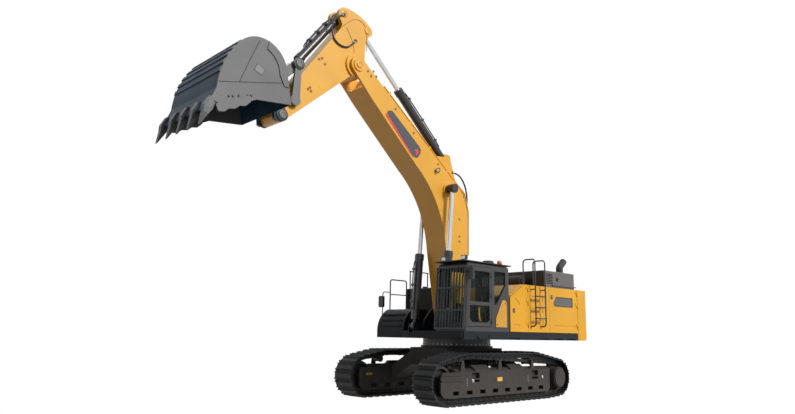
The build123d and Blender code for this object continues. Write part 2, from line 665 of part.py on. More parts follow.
# guard of bars in front of the windscreen, leaning with it
GUARD_BAR = 26.0
guard_low, guard_high = DECK_TOP + 40, CAB_TOP - 90
guard_plane = Plane(origin=(front_x(guard_low) + 62, mid_y, guard_low), x_dir=(0, 1, 0),
                    z_dir=(1, 0, windscreen_lean))
guard_tall = (guard_high - guard_low) * hypot(1, windscreen_lean)
guard_wide = BODY_HALF - CAB_INNER - 20
with BuildPart() as cab_guard:
    with BuildSketch(guard_plane):
        with Locations((0, guard_tall / 2)):
            Rectangle(guard_wide, guard_tall)
            Rectangle(guard_wide - 80, guard_tall - 80, mode=Mode.SUBTRACT)
            with GridLocations(guard_wide / 10, 0, 9, 1):
                Rectangle(GUARD_BAR, guard_tall - 78)
        with Locations((0, guard_tall * 0.30), (0, guard_tall * 0.66)):
            Rectangle(guard_wide - 78, GUARD_BAR + 8)
    extrude(amount=-30)
    with BuildSketch(guard_plane):
        with Locations(*[(s * (guard_wide / 2 - 30), h) for s in (-1, 1) for h in (120, guard_tall - 120)]):
            Rectangle(46, 60)
    extrude(amount=-(62 - SEAT))
keep("cab_guard", cab_guard)

ROOF_PLATE = 24.0
roof_z = CAB_TOP + 30
with BuildPart() as roof_plate:
    with BuildSketch(Plane.XY.offset(roof_z)):
        with Locations((CAB_REAR + 860, mid_y)):
            RectangleRounded(1960, 1010, 50)
        with Locations((CAB_REAR + 1000, mid_y)):
            RectangleRounded(600, 560, 60, mode=Mode.SUBTRACT)
    extrude(amount=ROOF_PLATE)
    with BuildSketch(Plane.XY.offset(CAB_TOP)):
        with Locations(*[(x, y) for x in (CAB_REAR + 150, CAB_REAR + 1500)
                         for y in (CAB_INNER + 120, BODY_HALF - 120)]):
            Circle(30)
    extrude(amount=32)
keep("roof_plate", roof_plate)

# domes on the roof, as (x, y, radius, height), and lamps on its front edge, as y
ROOF_DOMES = ((CAB_REAR + 1000.0, mid_y, 272.0, 95.0), (CAB_REAR + 330.0, mid_y + 60.0, 165.0, 60.0))
ROOF_LAMP_YS = (mid_y - 330.0, mid_y + 330.0)
LAMP_WIDE, LAMP_TALL, LAMP_DEEP = 150.0, 105.0, 90.0
MAST = 60.0             # height of the rear dome's neck
roof_face = roof_z + ROOF_PLATE
with BuildPart() as roof_fittings:
    for x, y, radius, tall in ROOF_DOMES:
        neck = MAST if radius < 200 else 0
        low = roof_face + neck - (0 if neck else ROOF_PLATE + 30 - SEAT)
        with BuildSketch(Plane.XY.offset(low)):
            with Locations((x, y)):
                RegularPolygon(radius, WHEEL_SIDES)
        extrude(amount=tall, taper=28 if neck else 20)
        if neck:
            with BuildSketch(Plane.XY.offset(roof_face)):
                with Locations((x, y)):
                    RegularPolygon(70, ROLLER_SIDES)
            extrude(amount=neck + 5)
    # beacon beside the rear dome
    with BuildSketch(Plane.XY.offset(roof_face)):
        with Locations((CAB_REAR + 120, mid_y + 300)):
            RegularPolygon(60, ROLLER_SIDES)
    extrude(amount=120, taper=6)
    # work lamps on short feet
    for y in ROOF_LAMP_YS:
        with BuildSketch(Plane.XY.offset(roof_face)):
            with Locations((front_x(CAB_TOP) - 60, y)):
                Rectangle(30, 60)
        extrude(amount=40)
        with BuildSketch(at_x(front_x(CAB_TOP) - 60 - LAMP_DEEP / 2)):
            with Locations((y, roof_face + 30 + LAMP_TALL / 2)):
                Rectangle(LAMP_WIDE, LAMP_TALL)
        extrude(amount=LAMP_DEEP)
keep("roof_fittings", roof_fittings)

# operator's seat and consoles, seen through the glass
console_out = 0.3 * (BODY_HALF - CAB_INNER)
console_half = 0.06 * (BODY_HALF - CAB_INNER)
with BuildPart() as operator_seat:
    with BuildSketch(Plane.XY.offset(cab_floor_top)):
        with Locations((CAB_REAR + 620, mid_y)):
            RectangleRounded(460, 420, 60)
    extrude(amount=330)
    with BuildSketch(Plane.XY.offset(cab_floor_top + 325)):
        with Locations((CAB_REAR + 640, mid_y)):
            RectangleRounded(540, 520, 90)
    extrude(amount=130)
    with BuildSketch(at_y(mid_y + 240)):
        Polygon((CAB_REAR + 370, cab_floor_top + 440), (CAB_REAR + 500, cab_floor_top + 440),
                (CAB_REAR + 400, cab_floor_top + 1080), (CAB_REAR + 290, cab_floor_top + 1080), align=None)
    extrude(amount=480)
    for side in (-1, 1):
        with BuildSketch(at_y(mid_y + side * console_out + console_half)):
            Polygon((CAB_REAR + 420, cab_floor_top + 330), (CAB_REAR + 980, cab_floor_top + 330),
                    (CAB_REAR + 980, cab_floor_top + 560), (CAB_REAR + 900, cab_floor_top + 620),
                    (CAB_REAR + 420, cab_floor_top + 620), align=None)
        extrude(amount=2 * console_half)
        with BuildSketch(Plane.XY.offset(cab_floor_top + 575)):
            with Locations((CAB_REAR + 920, mid_y + side * console_out)):
                RegularPolygon(24, 8)
        extrude(amount=190)
    with BuildSketch(Plane.XY.offset(cab_floor_top)):
        with Locations((CAB_REAR + 640, mid_y)):
            Rectangle(300, 2 * console_out + console_half)
    extrude(amount=334)
keep("operator_seat", operator_seat)

# ------------------------------------------------------------------ body and doors
HOOD_FRONT = -1620.0
HOOD_REAR = -3215.0
HOOD_LEFT = 1880.0
HOOD_RIGHT = -1500.0
LEDGE_UP, LEDGE_TALL, LEDGE_OUT = 60.0, 24.0, 45.0
HOOD_HINGE_XS = (-3000.0, -1900.0)
hood_hinge_z = BODY_TOP + HINGE_OUT
HOUSING_FRONT = -900.0      # front wall of the machinery space behind the boom
SLOPE_TOP = -560.0
SLOPE_LOW = 2700.0
BAY_DEEP = 420.0            # depth of the service bays behind the side doors
DOOR_SKIN = 50.0
side_rear = WEIGHT_FRONT + DOOR_GAP
with BuildPart() as body_housing:
    # main block of the machinery space under the top deck
    with BuildSketch(Plane.XY.offset(DECK_TOP)):
        with BuildLine():
            Polyline((WEIGHT_FRONT + SEAT, -(BODY_HALF - DOOR_SKIN)),
                     (HOUSING_FRONT, -(BODY_HALF - DOOR_SKIN)),
                     (HOUSING_FRONT, BODY_HALF - DOOR_SKIN),
                     (WEIGHT_FRONT + SEAT, BODY_HALF - DOOR_SKIN), close=True)
        make_face()
    extrude(amount=BODY_TOP - DECK_TOP)
    # arm of the block behind the cab, with its sloping stair
    with BuildSketch(at_y(900)):
        Polygon((HOUSING_FRONT - 5, DECK_TOP), (CAB_REAR - 30, DECK_TOP), (CAB_REAR - 30, SLOPE_LOW),
                (SLOPE_TOP, BODY_TOP), (HOUSING_FRONT - 5, BODY_TOP), align=None)
    extrude(amount=-(BODY_HALF - DOOR_SKIN - 900))
    # bays behind the side doors
    for side in (-1, 1):
        for x0, x1 in ((WEIGHT_FRONT + 60, STEP_SPLIT - 40), (STEP_SPLIT + 40, HOUSING_FRONT - 60)):
            with BuildSketch(at_y(side * (BODY_HALF - DOOR_SKIN - BAY_DEEP / 2) - BAY_DEEP / 2 - 1)):
                with Locations(((x0 + x1) / 2, (DECK_TOP + BODY_TOP) / 2)):
                    Rectangle(x1 - x0, BODY_TOP - DECK_TOP - 120)
            extrude(amount=-BAY_DEEP - 2, mode=Mode.SUBTRACT)
    # bay under the hood for the engine
    with BuildSketch(Plane.XY.offset(DECK_TOP + 40)):
        with Locations((-2400, 0)):
            Rectangle(1440, 2400)
    extrude(amount=BODY_TOP, mode=Mode.SUBTRACT)
    # room behind the boom between the main beams
    with BuildSketch(Plane.XY.offset(DECK_TOP)):
        for side in (-1, 1):
            with Locations(((WEIGHT_FRONT + HOUSING_FRONT) / 2, side * (TOWER_INNER + TOWER_THICK / 2))):
                Rectangle(HOUSING_FRONT - WEIGHT_FRONT + 100, TOWER_THICK + 2 * SEAT)
    extrude(amount=500, mode=Mode.SUBTRACT)
    # fixed knuckles of the hood's hinge
    with BuildSketch(*[at_x(x + HINGE_TALL + SEAT) for x in HOOD_HINGE_XS]):
        with Locations((HOOD_RIGHT - HINGE_OUT, hood_hinge_z)):
            Circle(HINGE_RADIUS)
        with Locations((HOOD_RIGHT - HINGE_OUT - LEAF / 2, hood_hinge_z - HINGE_OUT / 2 - 1)):
            Rectangle(LEAF, HINGE_OUT + 2)
    extrude(amount=HINGE_TALL)
keep("body_housing", body_housing)

with BuildPart() as engine_block:
    with BuildSketch(Plane.XY.offset(DECK_TOP + 40)):
        with Locations((-2400, 0)):
            Rectangle(900, 780)
    extrude(amount=1150)
keep("engine_block", engine_block)


def side_door(points, recesses):
    """Skin door on the left side with pressed recesses, given as (x, z) corners."""
    with BuildPart() as door:
        with BuildSketch(at_y(BODY_HALF - DOOR_SKIN + SEAT)):
            Polygon(*points, align=None)
        extrude(amount=-(DOOR_SKIN - SEAT))
        for corners in recesses:
            with BuildSketch(at_y(BODY_HALF - 14)):
                Polygon(*corners, align=None)
            extrude(amount=-20, mode=Mode.SUBTRACT)
    return door


door_low_z, door_high_z = DECK_TOP + 12, BODY_TOP - 10
front_door = side_door(
    ((SIDE_SPLIT + DOOR_GAP / 2, door_low_z), (CAB_REAR - 34, door_low_z), (CAB_REAR - 34, SLOPE_LOW - 6),
     (SLOPE_TOP, door_high_z), (SIDE_SPLIT + DOOR_GAP / 2, door_high_z)),
    (((-330, 2560), (-130, 2700), (-130, 2640), (-330, 2500)),
     ((-360, 1990), (-60, 1990), (-110, 1940), (-310, 1940))))
panel_hinge_zs = (2000.0, 2600.0, 2960.0)
weight_hinge_x = side_rear - DOOR_GAP / 2


def hung(door, line_x, side):
    """The door with the knuckles of its hinge line added."""
    with BuildPart() as hinged:
        add(door.part)
        add(hinge_leaves(line_x, side, panel_hinge_zs, 1, 0))
    return hinged


keep("left_front_door", hung(front_door, SIDE_SPLIT, 1))
rear_door = side_door(
    ((side_rear, door_low_z), (STEP_SPLIT - DOOR_GAP / 2, door_low_z),
     (STEP_SPLIT - DOOR_GAP / 2, door_high_z),
     (side_rear, door_high_z)),
    (((-2990, 2540), (-2020, 2540), (-1960, 2640), (-2110, 2820), (-2990, 2820)),
     ((-3080, 1960), (-2000, 1960), (-1960, 2010), (-3120, 2010))))
keep("left_rear_door", hung(rear_door, weight_hinge_x, 1))
step_panel = side_door(
    ((STEP_SPLIT + DOOR_GAP / 2, door_low_z), (SIDE_SPLIT - DOOR_GAP / 2, door_low_z),
     (SIDE_SPLIT - DOOR_GAP / 2, door_high_z), (STEP_SPLIT + DOOR_GAP / 2, door_high_z)),
    (((-1430, 2640), (-880, 2640), (-880, 2780), (-1430, 2780)),
     ((-1430, 2330), (-880, 2330), (-880, 2450), (-1430, 2450)),
     ((-1430, 2010), (-880, 2010), (-880, 2130), (-1430, 2130))))
with BuildPart() as side_panels:
    add(step_panel.part)
    with BuildSketch(at_y(-BODY_HALF)):
        Polygon((STEP_SPLIT + DOOR_GAP / 2, door_low_z), (HOUSING_FRONT - DOOR_GAP, door_low_z),
                (HOUSING_FRONT - DOOR_GAP, door_high_z), (STEP_SPLIT + DOOR_GAP / 2, door_high_z),
                align=None)
    extrude(amount=-(DOOR_SKIN - SEAT))
    add(hinge_leaves(SIDE_SPLIT, 1, panel_hinge_zs, -1, -HINGE_TALL - SEAT))
keep("side_panels", side_panels)

with BuildPart() as right_rear_door:
    with BuildSketch(at_y(-BODY_HALF)):
        Polygon((side_rear, door_low_z), (STEP_SPLIT - DOOR_GAP / 2, door_low_z),
                (STEP_SPLIT - DOOR_GAP / 2, door_high_z), (side_rear, door_high_z), align=None)
    extrude(amount=-(DOOR_SKIN - SEAT))
    with BuildSketch(at_y(-BODY_HALF - 6)):
        Polygon((-2990, 2540), (-2020, 2540), (-1960, 2640), (-2110, 2820), (-2990, 2820), align=None)
    extrude(amount=-20, mode=Mode.SUBTRACT)
keep("right_rear_door", hung(right_rear_door, weight_hinge_x, -1))

with BuildPart() as stair_plate:
    run = Plane(origin=(CAB_REAR - 30, (900 + BODY_HALF) / 2, SLOPE_LOW), x_dir=(0, 1, 0),
                z_dir=(BODY_TOP - SLOPE_LOW, 0, CAB_REAR - 30 - SLOPE_TOP))
    slope = hypot(BODY_TOP - SLOPE_LOW, CAB_REAR - 30 - SLOPE_TOP)
    with BuildSketch(run.offset(SEAT)):
        with Locations((0, slope / 2)):
            Rectangle(BODY_HALF - 960, slope - 120)
    extrude(amount=24)
keep("stair_plate", stair_plate)

# -------------------------------------------------------------------- counterweight
LIFT_HOLE_RADIUS = 30.0
LIFT_EYE_THICK = 60.0
LIFT_EYE_RING = 75.0    # metal's outer radius round the lifting hole
LIFT_EYE_UP = 90.0      # height of the hole over the casting
LIFT_EYE_ROOT = 150.0   # half length of the eye's foot
lift_x, lift_y = WEIGHT_FRONT - 330, 1100.0
with BuildPart() as counterweight:
    with BuildSketch(Plane.XY.offset(DECK_LOW)):
        with BuildLine():
            ThreePointArc((TAIL_X, BODY_HALF), (TAIL_X - TAIL_BULGE, 0), (TAIL_X, -BODY_HALF))
            Polyline((TAIL_X, -BODY_HALF), (WEIGHT_FRONT, -BODY_HALF), (WEIGHT_FRONT, BODY_HALF),
                     (TAIL_X, BODY_HALF))
        make_face()
    extrude(amount=BODY_TOP - DECK_LOW)
    fillet(counterweight.edges().filter_by(Axis.Z).group_by(Axis.X)[1], 90)
    chamfer(counterweight.edges().group_by(Axis.Z)[0].sort_by(Axis.X)[0], 60)
    # upright eyes to lift the casting by
    with BuildSketch(*[at_y(side * lift_y + LIFT_EYE_THICK / 2) for side in (-1, 1)]):
        Polygon((lift_x - LIFT_EYE_ROOT, BODY_TOP - 1), (lift_x + LIFT_EYE_ROOT, BODY_TOP - 1),
                (lift_x + LIFT_EYE_RING, BODY_TOP + LIFT_EYE_UP),
                (lift_x - LIFT_EYE_RING, BODY_TOP + LIFT_EYE_UP),
                align=None)
        with Locations((lift_x, BODY_TOP + LIFT_EYE_UP)):
            Circle(LIFT_EYE_RING)
            Circle(LIFT_HOLE_RADIUS, mode=Mode.SUBTRACT)
    extrude(amount=LIFT_EYE_THICK)
    for side in (-1, 1):
        add(hinge_leaves(weight_hinge_x, side, panel_hinge_zs, -1, -HINGE_TALL - SEAT))
keep("counterweight", counterweight)

# ------------------------------------------------------------------------ engine hood
with BuildPart() as engine_hood:
    with BuildSketch(Plane.XY.offset(BODY_TOP + SEAT)):
        with Locations(((HOOD_FRONT + HOOD_REAR) / 2, (HOOD_LEFT + HOOD_RIGHT) / 2)):
            Rectangle(HOOD_FRONT - HOOD_REAR, HOOD_LEFT - HOOD_RIGHT)
    extrude(amount=HOOD_TOP - 40 - BODY_TOP)
    fillet(engine_hood.edges().group_by(Axis.Z)[-1], 35)
    with BuildSketch(Plane.XY.offset(BODY_TOP)):
        with Locations(((HOOD_FRONT + HOOD_REAR) / 2, (HOOD_LEFT + HOOD_RIGHT) / 2)):
            Rectangle(HOOD_FRONT - HOOD_REAR - 80, HOOD_LEFT - HOOD_RIGHT - 80)
    extrude(amount=HOOD_TOP - 80 - BODY_TOP, mode=Mode.SUBTRACT)
    # louvre in the left wall
    with BuildSketch(at_y(HOOD_LEFT - 45)):
        with Locations((-1900, 3330)):
            with GridLocations(0, 44, 1, 7):
                Rectangle(330, 22)
    extrude(amount=-60, mode=Mode.SUBTRACT)
    # drip ledge along the left wall and the rear, and a hinge along the right wall
    with BuildSketch(Plane.XY.offset(BODY_TOP + LEDGE_UP)):
        with Locations(((HOOD_FRONT + HOOD_REAR) / 2 - LEDGE_OUT / 2 - 200, HOOD_LEFT)):
            Rectangle(HOOD_FRONT - HOOD_REAR + LEDGE_OUT - 400, 2 * LEDGE_OUT)
    extrude(amount=LEDGE_TALL)
    with BuildSketch(*[at_x(x) for x in HOOD_HINGE_XS]):
        with Locations((HOOD_RIGHT - HINGE_OUT, hood_hinge_z)):
            Circle(HINGE_RADIUS)
        with Locations((HOOD_RIGHT - HINGE_OUT / 2 + 1, hood_hinge_z + LEAF / 2)):
            Rectangle(HINGE_OUT + 1, LEAF)
    extrude(amount=HINGE_TALL)
keep("engine_hood", engine_hood)

EXHAUST_X, EXHAUST_Y = -2950.0, 1560.0
EXHAUST_RADIUS = 105.0
hood_skin = HOOD_TOP - 40 + SEAT
stack_points = ((EXHAUST_X, hood_skin), (EXHAUST_X, hood_skin + 200), (EXHAUST_X - 240, hood_skin + 400))
stack_side = 12
with BuildPart() as exhaust_stack:
    add(bent_tube(at_y(EXHAUST_Y), stack_points, EXHAUST_RADIUS, 130, stack_side))
    mouth = along(stack_points[2], stack_points[1], EXHAUST_Y)
    with BuildSketch(mouth):
        RegularPolygon(EXHAUST_RADIUS - 12, stack_side)
    extrude(amount=180, mode=Mode.SUBTRACT)
keep("exhaust_stack", exhaust_stack)

CLEANER_X, CLEANER_Z = -1390.0, 3270.0
CLEANER_LOW = BODY_HALF - 1070
# sections as (radius, low y, high y)
cleaner_discs = ((150.0, CLEANER_LOW, CLEANER_LOW + 420), (95.0, CLEANER_LOW - 40, CLEANER_LOW + 460))
with BuildPart() as air_cleaner:
    with Locations((CLEANER_X, 0, CLEANER_Z)):
        add(stack(cleaner_discs, WHEEL_SIDES))
    for y in (CLEANER_LOW + 80, CLEANER_LOW + 300):
        with BuildSketch(at_y(y)):
            with Locations((CLEANER_X, (BODY_TOP + CLEANER_Z - 90) / 2)):
                Rectangle(200, CLEANER_Z - 90 - BODY_TOP)
        extrude(amount=-40)
keep("air_cleaner", air_cleaner)

# ------------------------------------------------------ ladder with hand hoops
TUBE = 19.0
LADDER_OUT = 150.0      # ladder's distance from the body side
LADDER_XS = (-860.0, -1340.0)
HOOP_TOP = 3790.0
HOOP_DEEP = 390.0
LADDER_LOW = 1960.0
LADDER_STAY = 2960.0    # height of the upper stays
ladder_y = BODY_HALF + LADDER_OUT
ladder_run = ((BODY_HALF + SEAT, LADDER_LOW), (ladder_y, LADDER_LOW), (ladder_y, HOOP_TOP),
              (ladder_y - HOOP_DEEP, HOOP_TOP), (ladder_y - HOOP_DEEP, BODY_TOP + SEAT))
with BuildPart() as ladder:
    for x in LADDER_XS:
        add(bent_tube(at_x(x), ladder_run, TUBE, 90))
        with BuildSketch(Plane.XZ.offset(-(BODY_HALF + SEAT))):
            with Locations((x, LADDER_STAY)):
                RegularPolygon(TUBE - 4, 8)
        extrude(amount=-LADDER_OUT)
    for z in (2170.0, 2470.0, 2770.0):
        with BuildSketch(at_x(LADDER_XS[1])):
            with Locations((ladder_y, z)):
                Rectangle(60, 30)
        extrude(amount=LADDER_XS[0] - LADDER_XS[1])
keep("ladder", ladder)

# --------------------------------------------- tool box, tank and right handrail
BOX_REAR = 120.0
BOX_TOP = 2400.0
with BuildPart() as tool_box:
    with BuildSketch(at_y(-BODY_HALF)):
        with BuildLine():
            Polyline((DECK_FRONT_RIGHT, DECK_TOP + SEAT), (BOX_REAR, DECK_TOP + SEAT), (BOX_REAR, BOX_TOP),
                     (BOX_REAR + 760, BOX_TOP))
            ThreePointArc((BOX_REAR + 760, BOX_TOP), (DECK_FRONT_RIGHT - 160, DECK_TOP + 430),
                          (DECK_FRONT_RIGHT, DECK_TOP + SEAT))
        make_face()
    extrude(amount=-(BODY_HALF + BOX_INNER))
    # tread steps standing out of the curved front
    for x, z in ((DECK_FRONT_RIGHT - 25, DECK_TOP + 130), (DECK_FRONT_RIGHT - 85, DECK_TOP + 290),
                 (DECK_FRONT_RIGHT - 190, DECK_TOP + 450)):
        with BuildSketch(at_y(-BODY_HALF + 120)):
            with Locations((x - 40, z)):
                Rectangle(180, 36)
        extrude(amount=-(BODY_HALF + BOX_INNER - 240))
keep("tool_box", tool_box)

TANK_REAR = HOUSING_FRONT + DOOR_GAP
DECK_RAIL = 560.0        # height of the rail along the tank
with BuildPart() as fuel_tank:
    with BuildSketch(Plane.XY.offset(DECK_TOP + SEAT)):
        with Locations(((TANK_REAR + BOX_REAR - 6) / 2, (-BODY_HALF - 880) / 2)):
            Rectangle(BOX_REAR - 6 - TANK_REAR, BODY_HALF - 880)
    extrude(amount=BODY_TOP - DECK_TOP - 20)
    fillet(fuel_tank.edges().group_by(Axis.Z)[-1], 40)
    with BuildSketch(Plane.XY.offset(BODY_TOP - 20)):
        with Locations((-250, -1500)):
            Circle(70)
    extrude(amount=70)
keep("fuel_tank", fuel_tank)

rail_y = -BODY_HALF + 60
rail_xs = (BOX_REAR + 40, BOX_REAR + 720)
RAIL_TOP, RAIL_MIDDLE = 3290.0, 2850.0
with BuildPart() as right_handrail:
    add(bent_tube(at_y(rail_y), ((rail_xs[0], BOX_TOP + SEAT), (rail_xs[0], RAIL_TOP),
                                 (rail_xs[1], RAIL_TOP),
                                 (rail_xs[1], BOX_TOP + SEAT)), TUBE, 70))
    with BuildSketch(at_x(rail_xs[0])):
        with Locations((rail_y, RAIL_MIDDLE)):
            RegularPolygon(TUBE - 3, 8)
    extrude(amount=rail_xs[1] - rail_xs[0])
    # rail along the top of the tank, with three posts
    deck_posts = (HOUSING_FRONT + 120, (HOUSING_FRONT + BOX_REAR) / 2, BOX_REAR - 120)
    for x in deck_posts:
        with BuildSketch(Plane.XY.offset(BODY_TOP - 20 + SEAT)):
            with Locations((x, rail_y)):
                RegularPolygon(TUBE, 8)
        extrude(amount=DECK_RAIL)
    with BuildSketch(at_x(deck_posts[0] - 20)):
        with Locations((rail_y, BODY_TOP + DECK_RAIL - 40)):
            RegularPolygon(TUBE, 8)
    extrude(amount=deck_posts[2] - deck_posts[0] + 40)
keep("right_handrail", right_handrail)

MIRROR_WIDE, MIRROR_TALL, MIRROR_DEEP = 190.0, 330.0, 70.0
MIRROR_ARM_X = rail_xs[1] + 300.0
with BuildPart() as mirrors:
    # right one on an arm that leaves the handrail's front post and comes down to the box
    add(bent_tube(at_y(rail_y), ((rail_xs[1] + TUBE + SEAT, RAIL_MIDDLE + 60),
                                 (MIRROR_ARM_X, RAIL_MIDDLE + 60),
                                 (MIRROR_ARM_X, DECK_TOP + 424)), 14.0, 90))
    with BuildSketch(at_x(MIRROR_ARM_X + 10)):
        with Locations((rail_y, RAIL_MIDDLE - 230)):
            RectangleRounded(MIRROR_WIDE, MIRROR_TALL, 40)
    extrude(amount=MIRROR_DEEP)
    # left one on a bracket at the top of the cab's front post
    post_x = front_x(3240) - 30
    with BuildSketch(Plane.XZ.offset(-(BODY_HALF + SEAT))):
        with Locations((post_x, 3240)):
            Rectangle(46, 60)
    extrude(amount=-95)
    with BuildSketch(at_x(post_x - MIRROR_DEEP / 2)):
        with Locations((BODY_HALF + 105, 3210)):
            RectangleRounded(MIRROR_WIDE - 60, MIRROR_TALL, 30)
    extrude(amount=MIRROR_DEEP)
keep("mirrors", mirrors)

# ============================================================================ boom
TIP_RADIUS = 230.0
FOOT_RADIUS = 205.0
FORK_HALF = ARM_HALF + 55.0 + RUN_GAP
ROD_BOSS = 35.0
back_low, back_high = (-45.0, 3750.0), (-60.0, 4950.0)
crown, shoulder = (150.0, 5660.0), (640.0, 6090.0)
belly_points = ((3740.0, 7640.0), (2070.0, 6180.0))
throat, shin = (1300.0, 5330.0), (880.0, 4100.0)


def tangent(centre, radius, point, left):
    """Point where a line from the given point touches the circle."""
    span = distance(centre, point)
    share = radius / span
    rise = (1 - share ** 2) ** 0.5
    ux, uz = (point[0] - centre[0]) / span, (point[1] - centre[1]) / span
    sign = 1 if left else -1
    return (centre[0] + radius * (ux * share - sign * uz * rise),
            centre[1] + radius * (uz * share + sign * ux * rise))


with BuildPart() as boom:
    with BuildSketch(at_y(BOOM_HALF)):
        with BuildLine():
            foot_back = tangent(BOOM_FOOT, FOOT_RADIUS, back_low, True)
            foot_front = tangent(BOOM_FOOT, FOOT_RADIUS, shin, False)
            tip_top = tangent(BOOM_TIP, TIP_RADIUS, shoulder, False)
            tip_low = tangent(BOOM_TIP, TIP_RADIUS, belly_points[0], True)
            Line(foot_back, back_low)
            Line(back_low, back_high)
            ThreePointArc(back_high, crown, shoulder)
            Line(shoulder, tip_top)
            away = between(BOOM_TIP, beside(BOOM_TIP, shoulder, -100, 0), TIP_RADIUS / 100)
            ThreePointArc(tip_top, away, tip_low)
            Line(tip_low, belly_points[0])
            Line(belly_points[0], belly_points[1])
            ThreePointArc(belly_points[1], throat, shin)
            Line(shin, foot_front)
            ThreePointArc(foot_front, (BOOM_FOOT[0], BOOM_FOOT[1] - FOOT_RADIUS), foot_back)
        make_face()
    extrude(amount=2 * BOOM_HALF)
    # fork for the arm's root
    with BuildSketch(at_y(FORK_HALF)):
        with Locations(BOOM_TIP):
            Circle(560)
    extrude(amount=2 * FORK_HALF, mode=Mode.SUBTRACT)
    # round bosses of the tip and of the cylinder's pin
    for side in (-1, 1):
        for centre, radius, out in ((BOOM_TIP, 170, 30), (BOOM_ROD_PIN, 190, ROD_BOSS),
                                    (BOOM_FOOT, 180, TOWER_INNER - BOOM_HALF - 4)):
            low = side * (BOOM_HALF + out / 2) - out / 2
            with BuildSketch(at_y(low)):
                with Locations(centre):
                    Circle(radius)
            extrude(amount=-out)
    # lugs of the arm cylinder on the boom's back
    lug_x, lug_z = ARM_BASE_PIN
    for side in (-1, 1):
        low = side * (BARREL_HALF + RUN_GAP + 30) - 30
        with BuildSketch(at_y(low)):
            Polygon((140, 5700), (lug_x - 150, lug_z - 60), (lug_x - 110, lug_z + 110),
                    (lug_x + 90, lug_z + 120),
                    (lug_x + 160, lug_z + 20), (1500, 6650), align=None)
        extrude(amount=-60)
    # pins of the foot, the arm's root and the arm cylinder
    for centre, radius, half in ((BOOM_FOOT, FOOT_PIN, TOWER_INNER + TOWER_THICK),
                                 (BOOM_TIP, PIN_RADIUS, BOOM_HALF),
                                 (ARM_BASE_PIN, PIN_RADIUS, BARREL_HALF + RUN_GAP + 1)):
        with BuildSketch(at_y(half)):
            with Locations(centre):
                Circle(radius)
        extrude(amount=2 * half)
keep("boom", boom)

PIPE_YS = (-330.0, -275.0, 275.0, 330.0)
PIPE_RADIUS = 20.0
PIPE_OUT = 62.0         # pipe's middle over the boom's plate
PIPE_END = 3350.0
CLAMPS = (250.0, 1150.0, 2100.0, 3100.0)    # distances of the clamps from the shoulder
pipe_run = (beside(shoulder, tip_top, PIPE_END, PIPE_OUT), beside(shoulder, tip_top, -80, PIPE_OUT),
            (20.0, 5740.0), (-140.0, 5200.0), (-130.0, 3950.0))
with BuildPart() as boom_pipes:
    for y in PIPE_YS:
        add(bent_tube(at_y(y), pipe_run, PIPE_RADIUS, 150, 6))
    for side in (-1, 1):
        for forward in CLAMPS:
            with BuildSketch(at_y(side * 302.5 + 55)):
                Polygon(beside(shoulder, tip_top, forward - 30, SEAT),
                        beside(shoulder, tip_top, forward + 30, SEAT),
                        beside(shoulder, tip_top, forward + 30, PIPE_OUT + 26),
                        beside(shoulder, tip_top, forward - 30, PIPE_OUT + 26), align=None)
            extrude(amount=110)
keep("boom_pipes", boom_pipes)

COLLAR = 14.0           # a gland's collar stands this far out of its barrel
EYE_RING = 60.0         # metal round a pin in a cylinder's eye
BARREL_SIDES = 24


def cylinder(base, eye, bore, wall, neck, barrel_long, y, eye_half, rod_radius, spare):
    """Barrel and rod between two pins; spare is the rod's length inside at rest."""
    long = distance(base, eye)
    rod_long = long - barrel_long + spare
    with BuildPart() as barrel:
        with BuildSketch(along(base, eye, y).offset(neck)):
            RegularPolygon(bore + wall, BARREL_SIDES)
        extrude(amount=barrel_long - neck)
        with BuildSketch(along(base, eye, y).offset(barrel_long - 170)):
            RegularPolygon(bore + wall + COLLAR, BARREL_SIDES)
        extrude(amount=150)
        with BuildSketch(along(base, eye, y)):
            RegularPolygon(eye_half - 2, BARREL_SIDES)
        extrude(amount=neck + 10)
        with BuildSketch(along(base, eye, y).offset(neck + 60)):
            RegularPolygon(bore, BARREL_SIDES)
        extrude(amount=barrel_long, mode=Mode.SUBTRACT)
        with BuildSketch(at_y(y + eye_half)):
            with Locations(base):
                Circle(PIN_RADIUS + EYE_RING)
        extrude(amount=2 * eye_half)
        with BuildSketch(at_y(y + eye_half)):
            with Locations(base):
                Circle(PIN_RADIUS + SEAT)
        extrude(amount=2 * eye_half, mode=Mode.SUBTRACT)
        with BuildSketch(along(base, eye, y).offset(barrel_long - 90)):
            RegularPolygon(bore, BARREL_SIDES)
            RegularPolygon(rod_radius + SEAT, BARREL_SIDES, mode=Mode.SUBTRACT)
        extrude(amount=90)
    with BuildPart() as rod:
        with BuildSketch(along(eye, base, y)):
            RegularPolygon(rod_radius, BARREL_SIDES)
        extrude(amount=rod_long)
        with BuildSketch(along(eye, base, y).offset(rod_long - 60)):
            RegularPolygon(bore - SEAT, BARREL_SIDES)
        extrude(amount=60)
        with BuildSketch(at_y(y + eye_half)):
            with Locations(eye):
                Circle(PIN_RADIUS + EYE_RING)
        extrude(amount=2 * eye_half)
    return barrel, rod


boom_sides = [(side, cylinder(BOOM_BASE_PIN, BOOM_ROD_PIN, 95.0, 24.0, 200.0, 2050.0, side * BOOM_CYL_Y,
                              FOOT_HALF, 65.0, 300.0)) for side in (-1, 1)]
with BuildPart() as boom_cylinder_barrels:
    for side, (barrel, rod) in boom_sides:
        add(barrel.part)
keep("boom_cylinder_barrels", boom_cylinder_barrels)

with BuildPart() as boom_cylinder_rods:
    for side, (barrel, rod) in boom_sides:
        add(rod.part)
        inner, outer = BOOM_HALF + ROD_BOSS + 6, BOOM_CYL_Y + FOOT_HALF + 33
        with BuildSketch(at_y(min(side * inner, side * outer))):
            with Locations(BOOM_ROD_PIN):
                Circle(PIN_RADIUS)
        extrude(amount=inner - outer)
keep("boom_cylinder_rods", boom_cylinder_rods)

